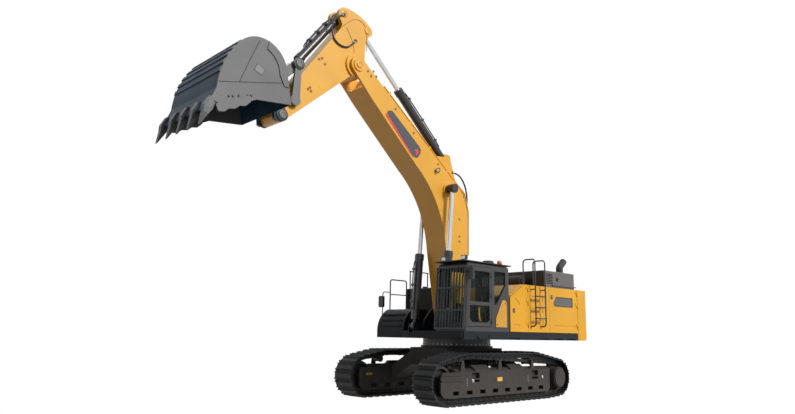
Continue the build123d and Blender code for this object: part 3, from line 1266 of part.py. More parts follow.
# ============================================================================= arm
ARM_ROOT_RADIUS = 330.0
ROCKER_SHAFT = 60.0
NOSE_RADIUS = 150.0
ROD_EYE_FOLDED = (4020.0, 9780.0)    # the slot also clears the rod's eye here, with the arm reached out
with BuildPart() as arm:
    with BuildSketch(at_y(ARM_HALF)):
        with BuildLine():
            Polyline((4760, 9270), (4700, 9420), (4780, 9560))
            ThreePointArc((4780, 9560), (4810, 9760), (4640, 9905))
            ThreePointArc((4640, 9905), (4130, 9850), (3730, 9640))
            ThreePointArc((3730, 9640), (3690, 9500), (3790, 9390))
            Polyline((3790, 9390), (3900, 9200), (3930, 8890), (3920, 8560))
            ThreePointArc((3920, 8560), (3960, 8290), (4140, 8130))
            Line((4140, 8130), (4290, 8190))
            Line((4290, 8190), (6330, 6425))
            ThreePointArc((6330, 6425), (6560, 6420), (6600, 6560))
            Line((6600, 6560), (6420, 6980))
            Line((6420, 6980), (5960, 7600))
            Line((5960, 7600), (4760, 9270))
        make_face()
    extrude(amount=2 * ARM_HALF)
    # root boss between the boom's fork plates
    with BuildSketch(at_y(ARM_HALF + 50)):
        with Locations(BOOM_TIP):
            Circle(ARM_ROOT_RADIUS)
    extrude(amount=2 * ARM_HALF + 100)
    # nose boss between the bucket's ears
    with BuildSketch(at_y(ARM_HALF + 50)):
        with Locations(BUCKET_PIN):
            Circle(NOSE_RADIUS)
    extrude(amount=2 * ARM_HALF + 100)
    # slots in which the two cylinders' eyes turn
    with BuildSketch(at_y(EYE_HALF + RUN_GAP)):
        with Locations(BUCKET_BASE_PIN):
            Circle(290)
        with Locations(ARM_ROD_PIN):
            Circle(330)
        with Locations(ROD_EYE_FOLDED):
            Circle(300)
    extrude(amount=2 * (EYE_HALF + RUN_GAP), mode=Mode.SUBTRACT)
    # bores for the bucket's pin, the rocker's and the boom's
    with BuildSketch(at_y(ARM_HALF + 60)):
        for centre, radius in ((BUCKET_PIN, PIN_RADIUS), (ROCKER_PIN, ROCKER_SHAFT), (BOOM_TIP, PIN_RADIUS)):
            with Locations(centre):
                Circle(radius + SEAT)
    extrude(amount=2 * ARM_HALF + 120, mode=Mode.SUBTRACT)
    # pin of the bucket cylinder
    with BuildSketch(at_y(EYE_HALF + RUN_GAP)):
        with Locations(BUCKET_BASE_PIN):
            Circle(PIN_RADIUS)
    extrude(amount=2 * (EYE_HALF + RUN_GAP))
keep("arm", arm)

arm_barrel, arm_rod = cylinder(ARM_BASE_PIN, ARM_ROD_PIN, 95.0, 25.0, 80.0, 2480.0, 0.0, EYE_HALF, 67.0,
                               960.0)
keep("arm_cylinder_barrel", arm_barrel)
keep("arm_cylinder_rod", arm_rod)
bucket_barrel, bucket_rod = cylinder(BUCKET_BASE_PIN, KNEE_PIN, 85.0, 22.0, 80.0, 2010.0, 0.0, EYE_HALF,
                                     60.0,
                                     1715.0)
keep("bucket_cylinder_barrel", bucket_barrel)
keep("bucket_cylinder_rod", bucket_rod)

# --------------------------------------------------------- rocker and bucket link
ROCKER_IN = ARM_HALF + 50 + RUN_GAP
ROCKER_THICK = 60.0
rocker_long = distance(ROCKER_PIN, KNEE_PIN)
with BuildPart() as rocker:
    for side in (-1, 1):
        low = side * (ROCKER_IN + ROCKER_THICK / 2) - ROCKER_THICK / 2
        with BuildSketch(at_y(low)):
            Polygon(beside(ROCKER_PIN, KNEE_PIN, 0, 110), beside(ROCKER_PIN, KNEE_PIN, rocker_long, 80),
                    beside(ROCKER_PIN, KNEE_PIN, rocker_long, -80), beside(ROCKER_PIN, KNEE_PIN, 0, -110),
                    align=None)
            with Locations(ROCKER_PIN):
                Circle(135)
            with Locations(KNEE_PIN):
                Circle(130)
        extrude(amount=-ROCKER_THICK)
    with BuildSketch(at_y(ROCKER_IN + 2)):
        with Locations(ROCKER_PIN):
            Circle(ROCKER_SHAFT)
    extrude(amount=2 * ROCKER_IN + 4)
keep("rocker", rocker)

# the link forks round the rod's eye at the knee and fills the ears at the bucket
LINK_HALF = ROCKER_IN - RUN_GAP
LINK_GAP = EYE_HALF + RUN_GAP
LIFT_EYE_RADIUS = 38.0
LIFT_EYE_HALF = 30.0
lift_eye = beside(KNEE_PIN, BUCKET_TOP_PIN, 560, 165)
with BuildPart() as bucket_link:
    long = distance(KNEE_PIN, BUCKET_TOP_PIN)
    with BuildSketch(at_y(LINK_HALF)):
        Polygon(beside(KNEE_PIN, BUCKET_TOP_PIN, 0, 105), beside(KNEE_PIN, BUCKET_TOP_PIN, 0, -105),
                beside(KNEE_PIN, BUCKET_TOP_PIN, long, -90), beside(KNEE_PIN, BUCKET_TOP_PIN, long, 90),
                align=None)
        with Locations(KNEE_PIN):
            Circle(115)
        with Locations(BUCKET_TOP_PIN):
            Circle(100)
    extrude(amount=2 * LINK_HALF)
    with BuildSketch(at_y(LINK_GAP)):
        with Locations(KNEE_PIN):
            Circle(330)
    extrude(amount=2 * LINK_GAP, mode=Mode.SUBTRACT)
    with BuildSketch(at_y(LINK_HALF + 1)):
        with Locations(BUCKET_TOP_PIN):
            Circle(PIN_RADIUS + SEAT)
    extrude(amount=2 * LINK_HALF + 2, mode=Mode.SUBTRACT)
    # eye for a lifting shackle on the link's outer side
    with BuildSketch(at_y(LIFT_EYE_HALF)):
        with Locations(lift_eye):
            Circle(75)
        Polygon(beside(lift_eye, BUCKET_TOP_PIN, -75, 0), beside(lift_eye, BUCKET_TOP_PIN, 75, 0),
                beside(lift_eye, BUCKET_TOP_PIN, 130, -90), beside(lift_eye, BUCKET_TOP_PIN, -130, -90),
                align=None)
        with Locations(lift_eye):
            Circle(LIFT_EYE_RADIUS, mode=Mode.SUBTRACT)
    extrude(amount=2 * LIFT_EYE_HALF)
keep("bucket_link", bucket_link)

# ========================================================================== bucket
SHELL = 40.0
SIDE_PLATE = 35.0
mouth_rear, top_end = (6650.0, 6535.0), (6790.0, 7200.0)
crest, heel = (7320.0, 7807.0), (7950.0, 7598.0)
floor_mid, floor_end = (8270.0, 7090.0), (8420.0, 6450.0)
lip_end = (8600.0, 5990.0)
cheek_low, cheek_mid = (8430.0, 5950.0), (7500.0, 6430.0)
LIP_THICK = 70.0
WEAR_SHARES = (0.04, 0.20, 0.36, 0.52, 0.68)     # places of the wear bars round the floor's bend
WEAR_WIDE, WEAR_THICK = 110.0, 22.0
CUTTER_THICK = 28.0
# side cutter's edge along the cheek: distance from its low corner, distance outside its edge
CUTTER_EDGE = ((60, -120), (60, 30), (190, 70), (320, 35), (450, 70), (580, 35), (710, 70), (860, 20),
               (900, -120))
ADAPTER_WIDE = 130.0


def lip(u, v):
    """Point u past the lip's edge and v outside the floor plate."""
    return beside(lip_end, beside(floor_end, lip_end, distance(floor_end, lip_end) + 100, 0), u, v)


with BuildPart() as bucket:
    with BuildSketch(at_y(BUCKET_HALF)):
        with BuildLine():
            Line(mouth_rear, top_end)
            ThreePointArc(top_end, crest, heel)
            ThreePointArc(heel, floor_mid, floor_end)
            Line(floor_end, lip_end)
            Polyline(lip_end, cheek_low, cheek_mid, mouth_rear)
        make_face()
    extrude(amount=2 * BUCKET_HALF)
    # torque tube and ears that take the pins
    for side in (-1, 1):
        low = side * (ROCKER_IN + 40) - 40
        with BuildSketch(at_y(low)):
            with BuildLine():
                Polyline((6560, 6360), (6990, 6500), (7100, 7500), (6900, 7480), (6790, 7340), (6640, 7340),
                         (6580, 7220), (6560, 6990), (6310, 6580), close=True)
            make_face()
            with Locations(BUCKET_PIN):
                Circle(150)
            with Locations(BUCKET_TOP_PIN):
                Circle(125)
        extrude(amount=-80)
    with BuildSketch(at_y(BUCKET_HALF - SIDE_PLATE)):
        with BuildLine():
            Polyline((6645, 6400), (6661, 6520), (6828, 7195))
            ThreePointArc((6828, 7195), (7322, 7767), (7928, 7564))
            ThreePointArc((7928, 7564), (8232, 7076), (8382, 6440))
            Polyline((8382, 6440), (8535, 6048), (8540, 5800), (6645, 6400))
        make_face()
    extrude(amount=2 * (BUCKET_HALF - SIDE_PLATE), mode=Mode.SUBTRACT)
    # thick cutting edge, and notches in the side plates for the corner adapters
    with BuildSketch(at_y(BUCKET_HALF)):
        Polygon(lip(-300, -SHELL + 2), lip(-240, -LIP_THICK), lip(0, -LIP_THICK), lip(0, -SHELL + 2),
                align=None)
    extrude(amount=2 * BUCKET_HALF)
    for side in (-1, 1):
        with BuildSketch(at_y(side * (BUCKET_HALF + 5) - (0 if side > 0 else -ADAPTER_WIDE - 10))):
            Polygon(lip(-205, -LIP_THICK), lip(6, -LIP_THICK), lip(6, -200), lip(-205, -200), align=None)
        extrude(amount=ADAPTER_WIDE + 10, mode=Mode.SUBTRACT)
    # wear bars across the outside of the floor
    with BuildLine(mode=Mode.PRIVATE) as sole:
        ThreePointArc(heel, floor_mid, floor_end)
    for share in WEAR_SHARES:
        middle, run = sole.line @ share, sole.line % share
        ahead = (middle.X + run.X, middle.Y + run.Y)
        with BuildSketch(at_y(BUCKET_HALF - 6)):
            Polygon(beside((middle.X, middle.Y), ahead, -WEAR_WIDE / 2, -5),
                    beside((middle.X, middle.Y), ahead, WEAR_WIDE / 2, -5),
                    beside((middle.X, middle.Y), ahead, WEAR_WIDE / 2 - 8, WEAR_THICK),
                    beside((middle.X, middle.Y), ahead, 8 - WEAR_WIDE / 2, WEAR_THICK), align=None)
        extrude(amount=2 * BUCKET_HALF - 12)
    # rim plates along the back's edge, and scalloped side cutters
    for side in (-1, 1):
        low = side * (BUCKET_HALF + CUTTER_THICK / 2 - 3) - CUTTER_THICK / 2 - 3
        with BuildSketch(at_y(low)):
            with BuildLine():
                ThreePointArc((6802.0, 7200.0), (6955.0, 7560.0), (7300.0, 7793.0))
                Line((7300.0, 7793.0), (7330.0, 7610.0))
                ThreePointArc((7330.0, 7610.0), (7090.0, 7420.0), (6985.0, 7130.0))
                Polyline((6985.0, 7130.0), (6860.0, 6900.0), (6735.0, 6900.0), (6802.0, 7200.0))
            make_face()
            Polygon(*[beside(cheek_low, cheek_mid, forward, out) for forward, out in CUTTER_EDGE],
                    align=None)
        extrude(amount=-CUTTER_THICK)
    # pins in the ears
    with BuildSketch(at_y(ROCKER_IN + 90)):
        with Locations(BUCKET_PIN):
            Circle(PIN_RADIUS)
        with Locations(BUCKET_TOP_PIN):
            Circle(PIN_RADIUS)
    extrude(amount=2 * ROCKER_IN + 180)
keep("bucket", bucket)

TOOTH_COUNT = 5
tooth_step = (2 * BUCKET_HALF - ADAPTER_WIDE) / (TOOTH_COUNT - 1)
tooth_y = [(i - (TOOTH_COUNT - 1) / 2) * tooth_step for i in range(TOOTH_COUNT)]
with BuildPart() as tooth_adapters:
    for y in tooth_y:
        with BuildSketch(at_y(y + ADAPTER_WIDE / 2)):
            Polygon(lip(-260, SEAT), lip(-240, 45), lip(-20, 70), lip(130, 15), lip(130, -85),
                    lip(-20, -125),
                    lip(-180, -115), lip(-200, -LIP_THICK - SEAT), lip(SEAT, -LIP_THICK - SEAT),
                    lip(SEAT, SEAT),
                    align=None)
        extrude(amount=ADAPTER_WIDE)
keep("tooth_adapters", tooth_adapters)

with BuildPart() as bucket_teeth:
    for y in tooth_y:
        root, tip = lip(130 + SEAT, -35), lip(386, -35)
        for end, wide, thick in ((root, 120, 110), (tip, 70, 16)):
            tooth_plane = along(root, tip, y)
            tooth_plane.origin = (end[0], y, end[1])
            with BuildSketch(tooth_plane):
                Rectangle(wide, thick)
        loft(ruled=True)
keep("bucket_teeth", bucket_teeth)

# ==================================================== the stored frame and files
corners = [corner for piece in pieces.values() for corner in
           (piece.part.bounding_box().min, piece.part.bounding_box().max)]
low_x, high_x = min(c.X for c in corners), max(c.X for c in corners)
low_y, high_y = min(c.Y for c in corners), max(c.Y for c in corners)
shift = Vector(-(low_x + high_x) / 2, -(low_y + high_y) / 2, -min(c.Z for c in corners))
for name, piece in pieces.items():
    placed = piece.part.moved(Location(shift))
    placed.label = name
    export_step(placed, f"parts/{name}.step")
print("shift to the stored frame", [round(v, 3) for v in shift])
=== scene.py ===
"""Looks of a crawler excavator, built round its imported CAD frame: finishes, hoses, cushions and fittings.

The file follows the machine from the ground up: the view and light, then the tracks, the undercarriage,
the deck, the cab, the housing, the boom, the arm and the bucket. Lengths are metres, +X is the front.
"""

import bmesh
import bpy
import numpy as np
from mathutils import Matrix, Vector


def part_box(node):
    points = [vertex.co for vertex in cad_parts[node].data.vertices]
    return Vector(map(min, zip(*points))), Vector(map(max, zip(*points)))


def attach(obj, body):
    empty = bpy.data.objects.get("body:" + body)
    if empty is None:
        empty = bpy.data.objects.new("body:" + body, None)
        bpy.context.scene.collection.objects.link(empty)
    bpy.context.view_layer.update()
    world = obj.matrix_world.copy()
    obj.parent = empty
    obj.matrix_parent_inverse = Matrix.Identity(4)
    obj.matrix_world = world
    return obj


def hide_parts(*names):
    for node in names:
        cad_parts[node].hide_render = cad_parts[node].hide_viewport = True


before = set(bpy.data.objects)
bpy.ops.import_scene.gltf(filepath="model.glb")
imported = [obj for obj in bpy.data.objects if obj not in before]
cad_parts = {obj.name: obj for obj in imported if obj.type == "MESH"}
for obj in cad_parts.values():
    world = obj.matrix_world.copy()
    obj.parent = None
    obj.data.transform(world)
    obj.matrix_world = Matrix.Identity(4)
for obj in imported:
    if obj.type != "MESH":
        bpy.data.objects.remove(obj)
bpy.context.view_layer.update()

# ---- View ----
# A 29 mm lens at standing eye height, off the front left corner, tipped up a little towards the raised boom.
EYE = np.array([11.870, 12.2425, 1.685])
YAW, PITCH, ROLL = -2.335, 0.194, 0.018
LENS = 29.30

forward = np.array([np.cos(YAW) * np.cos(PITCH), np.sin(YAW) * np.cos(PITCH), np.sin(PITCH)])
level = np.array([np.sin(YAW), -np.cos(YAW), 0.0])
above = np.cross(level, forward)
right = np.cos(ROLL) * level + np.sin(ROLL) * above
top = np.cos(ROLL) * above - np.sin(ROLL) * level
lens = bpy.data.cameras.new("view")
lens.lens = LENS
lens.sensor_width = 36.0
lens.clip_end = 400.0
camera = bpy.data.objects.new("view", lens)
bpy.context.scene.collection.objects.link(camera)
camera.matrix_world = Matrix([[right[i], top[i], -forward[i], EYE[i]] for i in range(3)] + [[0, 0, 0, 1]])
bpy.context.scene.camera = camera
bpy.context.scene.view_settings.view_transform = "Standard"


# ---- Light and floor ----
# One broad soft sun from the left and above, an even dim sky, and a floor that looks white but reflects grey.
def wire(tree, kind, inputs=None, **settings):
    """Adds one shader node. inputs gives each socket a value, or the output of another node."""
    made = tree.nodes.new(kind)
    for setting, value in settings.items():
        setattr(made, setting, value)
    for socket, value in (inputs or {}).items():
        if isinstance(value, bpy.types.NodeSocket):
            tree.links.new(value, made.inputs[socket])
        else:
            made.inputs[socket].default_value = value
    return made


def seen_directly(tree):
    """1 for a ray from the camera, off gloss or through glass, and 0 for light that a surface gathers."""
    path = wire(tree, "ShaderNodeLightPath")
    first = wire(tree, "ShaderNodeMath", {0: path.outputs["Is Camera Ray"], 1: path.outputs["Is Glossy Ray"]},
                 operation="MAXIMUM")
    return wire(tree, "ShaderNodeMath", {0: first.outputs[0], 1: path.outputs["Is Transmission Ray"]},
                operation="MAXIMUM").outputs[0]


SUN_TOWARDS = np.array([-0.25, 0.80, 0.55])
SUN_STRENGTH = 2.7
SUN_SPREAD = 0.30
SKY_COLOUR = (0.93, 0.96, 1.0, 1.0)
SKY_STRENGTH = 0.27
WHITE = (1.0, 1.0, 1.0, 1.0)
FLOOR_SHADE = (0.32, 0.28, 0.26, 1.0)
FLOOR_HALF = 90.0

sun = bpy.data.lights.new("sun", "SUN")
sun.energy = SUN_STRENGTH
sun.angle = SUN_SPREAD
sun_object = bpy.data.objects.new("sun", sun)
bpy.context.scene.collection.objects.link(sun_object)
to_sun = SUN_TOWARDS / np.linalg.norm(SUN_TOWARDS)
across = np.cross([0.0, 0.0, 1.0], to_sun)
across /= np.linalg.norm(across)
upward = np.cross(to_sun, across)
sun_object.matrix_world = Matrix([[across[i], upward[i], to_sun[i], 20.0 * to_sun[i]] for i in range(3)]
                                 + [[0, 0, 0, 1]])

world = bpy.data.worlds.new("sky")
bpy.context.scene.world = world
world.use_nodes = True
sky = world.node_tree
sky.nodes.clear()
dim = wire(sky, "ShaderNodeBackground", {"Color": SKY_COLOUR, "Strength": SKY_STRENGTH})
bright = wire(sky, "ShaderNodeBackground", {"Color": WHITE, "Strength": 1.0})
both = wire(sky, "ShaderNodeMixShader", {0: seen_directly(sky), 1: dim.outputs[0], 2: bright.outputs[0]})
wire(sky, "ShaderNodeOutputWorld", {"Surface": both.outputs[0]})

floor_mesh = bpy.data.meshes.new("floor")
floor_mesh.from_pydata([(-FLOOR_HALF, -FLOOR_HALF, 0), (FLOOR_HALF, -FLOOR_HALF, 0),
                        (FLOOR_HALF, FLOOR_HALF, 0), (-FLOOR_HALF, FLOOR_HALF, 0)], [], [(0, 1, 2, 3)])
floor_object = bpy.data.objects.new("floor", floor_mesh)
bpy.context.scene.collection.objects.link(floor_object)
floor_paint = bpy.data.materials.new("floor")
floor_paint.use_nodes = True
ground = floor_paint.node_tree
ground.nodes.clear()
matt = wire(ground, "ShaderNodeBsdfDiffuse", {"Color": FLOOR_SHADE})
glow = wire(ground, "ShaderNodeEmission", {"Color": WHITE, "Strength": 1.0})
either = wire(ground, "ShaderNodeMixShader", {0: seen_directly(ground), 1: matt.outputs[0],
                                              2: glow.outputs[0]})
wire(ground, "ShaderNodeOutputMaterial", {"Surface": either.outputs[0]})
floor_mesh.materials.append(floor_paint)


# ---- Tracks, rollers and sprockets ----
# Forged chains with bolted plate shoes, and cast rollers, idlers and sprockets: bare dark steel, dulled by
# soil low down and flecked with lighter chips.
def new_group(name, inputs, outputs):
    """An empty shader group with named inputs (kind, default) and outputs, and its two end nodes."""
    tree = bpy.data.node_groups.new(name, "ShaderNodeTree")
    for label, (kind, default) in inputs.items():
        socket = tree.interface.new_socket(label, in_out="INPUT", socket_type=kind)
        socket.default_value = default
    for label, kind in outputs.items():
        tree.interface.new_socket(label, in_out="OUTPUT", socket_type=kind)
    return tree, tree.nodes.new("NodeGroupInput"), tree.nodes.new("NodeGroupOutput")


def stretch(tree, value, low, high, to_low=0.0, to_high=1.0):
    """value carried from low..high to to_low..to_high, held at the ends."""
    return wire(tree, "ShaderNodeMapRange", {"Value": value, "From Min": low, "From Max": high,
                                             "To Min": to_low, "To Max": to_high}).outputs[0]


def times(tree, first, second):
    """The product of two values."""
    return wire(tree, "ShaderNodeMath", {0: first, 1: second}, operation="MULTIPLY").outputs[0]


def blended(tree, factor, first, second):
    """Two colours mixed by a factor from 0 to 1."""
    mix = wire(tree, "ShaderNodeMix", data_type="RGBA")
    for socket, value in ((0, factor), (6, first), (7, second)):
        if isinstance(value, bpy.types.NodeSocket):
            tree.links.new(value, mix.inputs[socket])
        else:
            mix.inputs[socket].default_value = value
    return mix.outputs[2]


def cloud(tree, place, scale, detail=3.0):
    """Soft noise of so many blotches a metre."""
    return wire(tree, "ShaderNodeTexNoise", {"Vector": place, "Scale": scale, "Detail": detail}).outputs[0]


def weathered_group():
    """Broad tone, fine grain, sparse chips and soil that thins out upward: colour, roughness and height."""
    tree, given, made = new_group(
        "weathered",
        {"Colour": ("NodeSocketColor", (0.5, 0.5, 0.5, 1)),
         "Chip colour": ("NodeSocketColor", (0.1, 0.1, 0.1, 1)),
         "Soil colour": ("NodeSocketColor", (0.16, 0.13, 0.10, 1)), "Tone": ("NodeSocketFloat", 0.08),
         "Chips": ("NodeSocketFloat", 0.1), "Soil": ("NodeSocketFloat", 0.2),
         "Soil top": ("NodeSocketFloat", 1.2), "Grain": ("NodeSocketFloat", 60.0),
         "Roughness": ("NodeSocketFloat", 0.5)},
        {"Colour": "NodeSocketColor", "Roughness": "NodeSocketFloat", "Height": "NodeSocketFloat"})
    place = wire(tree, "ShaderNodeTexCoord").outputs["Object"]
    up = wire(tree, "ShaderNodeSeparateXYZ", {0: place}).outputs[2]
    broad = stretch(tree, cloud(tree, place, 0.9), 0.35, 0.65)
    fine = cloud(tree, place, given.outputs["Grain"], 4.0)
    darker = times(tree, broad, given.outputs["Tone"])
    toned = blended(tree, darker, given.outputs["Colour"], (0.0, 0.0, 0.0, 1))
    chip = times(tree, stretch(tree, cloud(tree, place, 14.0, 6.0), 0.66, 0.72), given.outputs["Chips"])
    chipped = blended(tree, chip, toned, given.outputs["Chip colour"])
    low_down = wire(tree, "ShaderNodeMapRange", {"Value": up, "From Min": given.outputs["Soil top"],
                                                 "From Max": 0.0}).outputs[0]
    patchy = stretch(tree, cloud(tree, place, 5.0, 5.0), 0.30, 0.70, 0.35, 1.0)
    soil = times(tree, times(tree, low_down, patchy), given.outputs["Soil"])
    soiled = blended(tree, soil, chipped, given.outputs["Soil colour"])
    uneven = stretch(tree, fine, 0.3, 0.7, -0.06, 0.06)
    rough = wire(tree, "ShaderNodeMath", {0: given.outputs["Roughness"], 1: uneven},
                 operation="ADD").outputs[0]
    dull = stretch(tree, soil, 0.0, 1.0, 0.0, 0.35)
    rough = wire(tree, "ShaderNodeMath", {0: rough, 1: dull}, operation="ADD").outputs[0]
    for label, value in (("Colour", soiled), ("Roughness", rough), ("Height", fine)):
        tree.links.new(value, made.inputs[label])
    return tree


WEATHERED = weathered_group()


def new_material(name):
    """An empty node material."""
    material = bpy.data.materials.new(name)
    material.use_nodes = True
    material.node_tree.nodes.clear()
    return material, material.node_tree


def weathered(name, colour, chip, tone=0.08, chips=0.1, soil=0.2, soil_top=1.2, grain=60.0, rough=0.5,
              metal=0.0, gloss=0.5, coat=0.0, bump=0.15, bump_depth=0.002, soil_colour=(0.16, 0.13, 0.10)):
    """A finish from the weathered group: paint, cast or plate steel, or plastic."""
    material, tree = new_material(name)
    surface = wire(tree, "ShaderNodeGroup", node_tree=WEATHERED)
    for label, value in (("Colour", (*colour, 1)), ("Chip colour", (*chip, 1)),
                         ("Soil colour", (*soil_colour, 1)), ("Tone", tone), ("Chips", chips), ("Soil", soil),
                         ("Soil top", soil_top), ("Grain", grain), ("Roughness", rough)):
        surface.inputs[label].default_value = value
    relief = wire(tree, "ShaderNodeBump", {"Height": surface.outputs["Height"], "Strength": bump,
                                           "Distance": bump_depth})
    skin = wire(tree, "ShaderNodeBsdfPrincipled",
                {"Base Color": surface.outputs["Colour"], "Roughness": surface.outputs["Roughness"],
                 "Normal": relief.outputs[0], "Metallic": metal, "Specular IOR Level": gloss,
                 "Coat Weight": coat, "Coat Roughness": 0.12})
    wire(tree, "ShaderNodeOutputMaterial", {"Surface": skin.outputs[0]})
    return material


def dress(material, *names):
    """Gives CAD nodes this finish in place of the plain one they came with."""
    for name in names:
        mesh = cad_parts[name].data
        mesh.materials.clear()
        mesh.materials.append(material)


track_steel = weathered("track_steel", (0.017, 0.019, 0.022), (0.11, 0.11, 0.115), tone=0.25, chips=0.5,
                        soil=0.45, soil_top=1.5, grain=38.0, rough=0.46, metal=0.35, gloss=0.35, bump=0.5,
                        bump_depth=0.004, soil_colour=(0.045, 0.041, 0.038))
running_gear = weathered("running_gear", (0.030, 0.030, 0.031), (0.10, 0.10, 0.10), tone=0.2, chips=0.3,
                         soil=0.4, grain=46.0, rough=0.5, gloss=0.35, bump=0.3,
                         soil_colour=(0.06, 0.052, 0.045))
dress(track_steel, "track_left", "track_right")
dress(running_gear, "idlers", "sprockets", "track_rollers")

slew_low, slew_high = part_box("slew_ring_lower")
SLEW_AXIS = np.array([(slew_low[0] + slew_high[0]) / 2, (slew_low[1] + slew_high[1]) / 2, 0.0])


def at(points):
    """Points given from the slew axis on the ground, as (forward, left, up), in the model's frame."""
    return np.asarray(points, float) + SLEW_AXIS


def piece(name, points, faces, body, finish, bevel=0.0):
    """A new mesh piece that rides on a body, its faces turned outward and smooth below 35 degrees."""
    mesh = bpy.data.meshes.new(name)
    mesh.from_pydata(np.reshape(points, (-1, 3)).tolist(), [], faces)
    shell = bmesh.new()
    shell.from_mesh(mesh)
    bmesh.ops.recalc_face_normals(shell, faces=shell.faces[:])
    shell.to_mesh(mesh)
    shell.free()
    mesh.shade_smooth()
    mesh.set_sharp_from_angle(angle=np.radians(35.0))
    mesh.materials.append(finish)
    made = bpy.data.objects.new(name, mesh)
    bpy.context.scene.collection.objects.link(made)
    if bevel:
        eased = made.modifiers.new("eased_edges", "BEVEL")
        eased.width = bevel
        eased.segments = 2
        eased.limit_method = "ANGLE"
    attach(made, body)
    return made


def wrapped(rows, columns, copies=1):
    """Faces of so many copies of a tube of points: quads between its rings and one face over each end."""
    row, column = np.meshgrid(np.arange(rows - 1), np.arange(columns), indexing="ij")
    after = (column + 1) % columns
    quads = np.stack([row * columns + column, row * columns + after,
                      (row + 1) * columns + after, (row + 1) * columns + column], axis=-1).reshape(-1, 4)
    ends = np.stack([np.arange(columns)[::-1], np.arange(columns) + (rows - 1) * columns])
    starts = np.arange(copies)[:, None, None] * rows * columns
    return [face for block in (quads, ends) for face in (block + starts).reshape(-1, block.shape[1]).tolist()]


def turned(name, profile, places, towards, body, finish, sides=20):
    """Copies of one turned form. With unit axis w, and u and v across it, ring k of the copy at p is
    p + radius_k (cos a u + sin a v) + height_k w, for a from 0 to a full turn."""
    places = np.reshape(places, (-1, 3))
    w = np.broadcast_to(np.asarray(towards, float), places.shape)
    w = w / np.linalg.norm(w, axis=1, keepdims=True)
    aside = np.where(np.abs(w[:, 2:]) < 0.9, [[0.0, 0.0, 1.0]], [[1.0, 0.0, 0.0]])
    u = np.cross(aside, w)
    u /= np.linalg.norm(u, axis=1, keepdims=True)
    v = np.cross(w, u)
    rings = np.asarray(profile, float)
    angle = np.arange(sides)[:, None] * 2 * np.pi / sides
    spokes = np.cos(angle) * u[:, None] + np.sin(angle) * v[:, None]
    points = (places[:, None, None] + rings[:, None, :1] * spokes[:, None]
              + rings[:, None, 1:] * w[:, None, None])
    return piece(name, points, wrapped(len(rings), sides, len(places)), body, finish)


def plates(name, outlines, thick, body, finish, bevel=0.0):
    """Flat plates: each outline, and the same outline moved by the vector thick, joined round the edge."""
    outlines = np.asarray(outlines, float)
    outlines = outlines.reshape(-1, *outlines.shape[-2:])
    points = np.stack([outlines, outlines + np.asarray(thick, float)], axis=1)
    return piece(name, points, wrapped(2, outlines.shape[1], len(outlines)), body, finish, bevel)


def upright(outline, y):
    """Corners (forward, up) set on the upright plane at y, in the model's frame."""
    outline = np.asarray(outline, float)
    return at(np.stack([outline[:, 0], np.full(len(outline), y), outline[:, 1]], axis=-1))


def chain_line(step_count):
    """Evenly spaced points along the pin line in the side view, and the runs between them. The line is the
    rim of the smallest convex form round the wheels: in direction d the rim is c + r d, for the wheel with
    the greatest c.d + r."""
    idler_low, idler_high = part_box("idlers")
    sprocket_low, sprocket_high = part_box("sprockets")
    roller_low, roller_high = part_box("track_rollers")
    idler = ((idler_low[0] + idler_high[0]) / 2, (idler_low[2] + idler_high[2]) / 2)
    sprocket = ((sprocket_low[0] + sprocket_high[0]) / 2, (sprocket_low[2] + sprocket_high[2]) / 2)
    wheels = np.array([(*idler, (idler_high[2] - idler_low[2]) / 2 + IDLER_TO_PINS),
                       (*sprocket, (sprocket_high[2] - sprocket_low[2]) / 2 + SPROCKET_TO_PINS),
                       (roller_low[0] + ROLLER_OUT, roller_low[2] + ROLLER_OUT, ROLLER_TO_PINS),
                       (roller_high[0] - CARRIER_IN, roller_high[2] - CARRIER_OUT, CARRIER_TO_PINS)])
    turn = np.linspace(0.0, 2 * np.pi, 721)
    heading = np.stack([np.cos(turn), np.sin(turn)], axis=-1)
    widest = np.argmax(heading @ wheels[:, :2].T + wheels[:, 2], axis=1)
    rim = wheels[widest, :2] + wheels[widest, 2:] * heading
    gone = np.concatenate([[0.0], np.cumsum(np.linalg.norm(np.diff(rim, axis=0), axis=1))])
    wanted = np.arange(step_count) * gone[-1] / step_count
    pins = np.stack([np.interp(wanted, gone, rim[:, 0]), np.interp(wanted, gone, rim[:, 1])], axis=-1)
    runs = np.roll(pins, -1, axis=0) - pins
    return pins, runs


IDLER_TO_PINS = 0.040       # from the idler's flange out to the pins
SPROCKET_TO_PINS = 0.006
ROLLER_OUT, ROLLER_TO_PINS = 0.130, 0.168
CARRIER_IN, CARRIER_OUT, CARRIER_TO_PINS = 0.560, 0.099, 0.148
LINK_COUNT = 54
STRAND_SIDE = 0.110         # from the chain's middle to a strand's outer side
LINK_PROUD = 0.010
# a link's side plate, as shares of the pitch forward and metres off the pin line
LINK_SHAPE = ((-0.46, -0.030), (-0.30, -0.046), (0.30, -0.046), (0.46, -0.030),
              (0.46, 0.024), (0.22, 0.050), (-0.22, 0.050), (-0.46, 0.024))

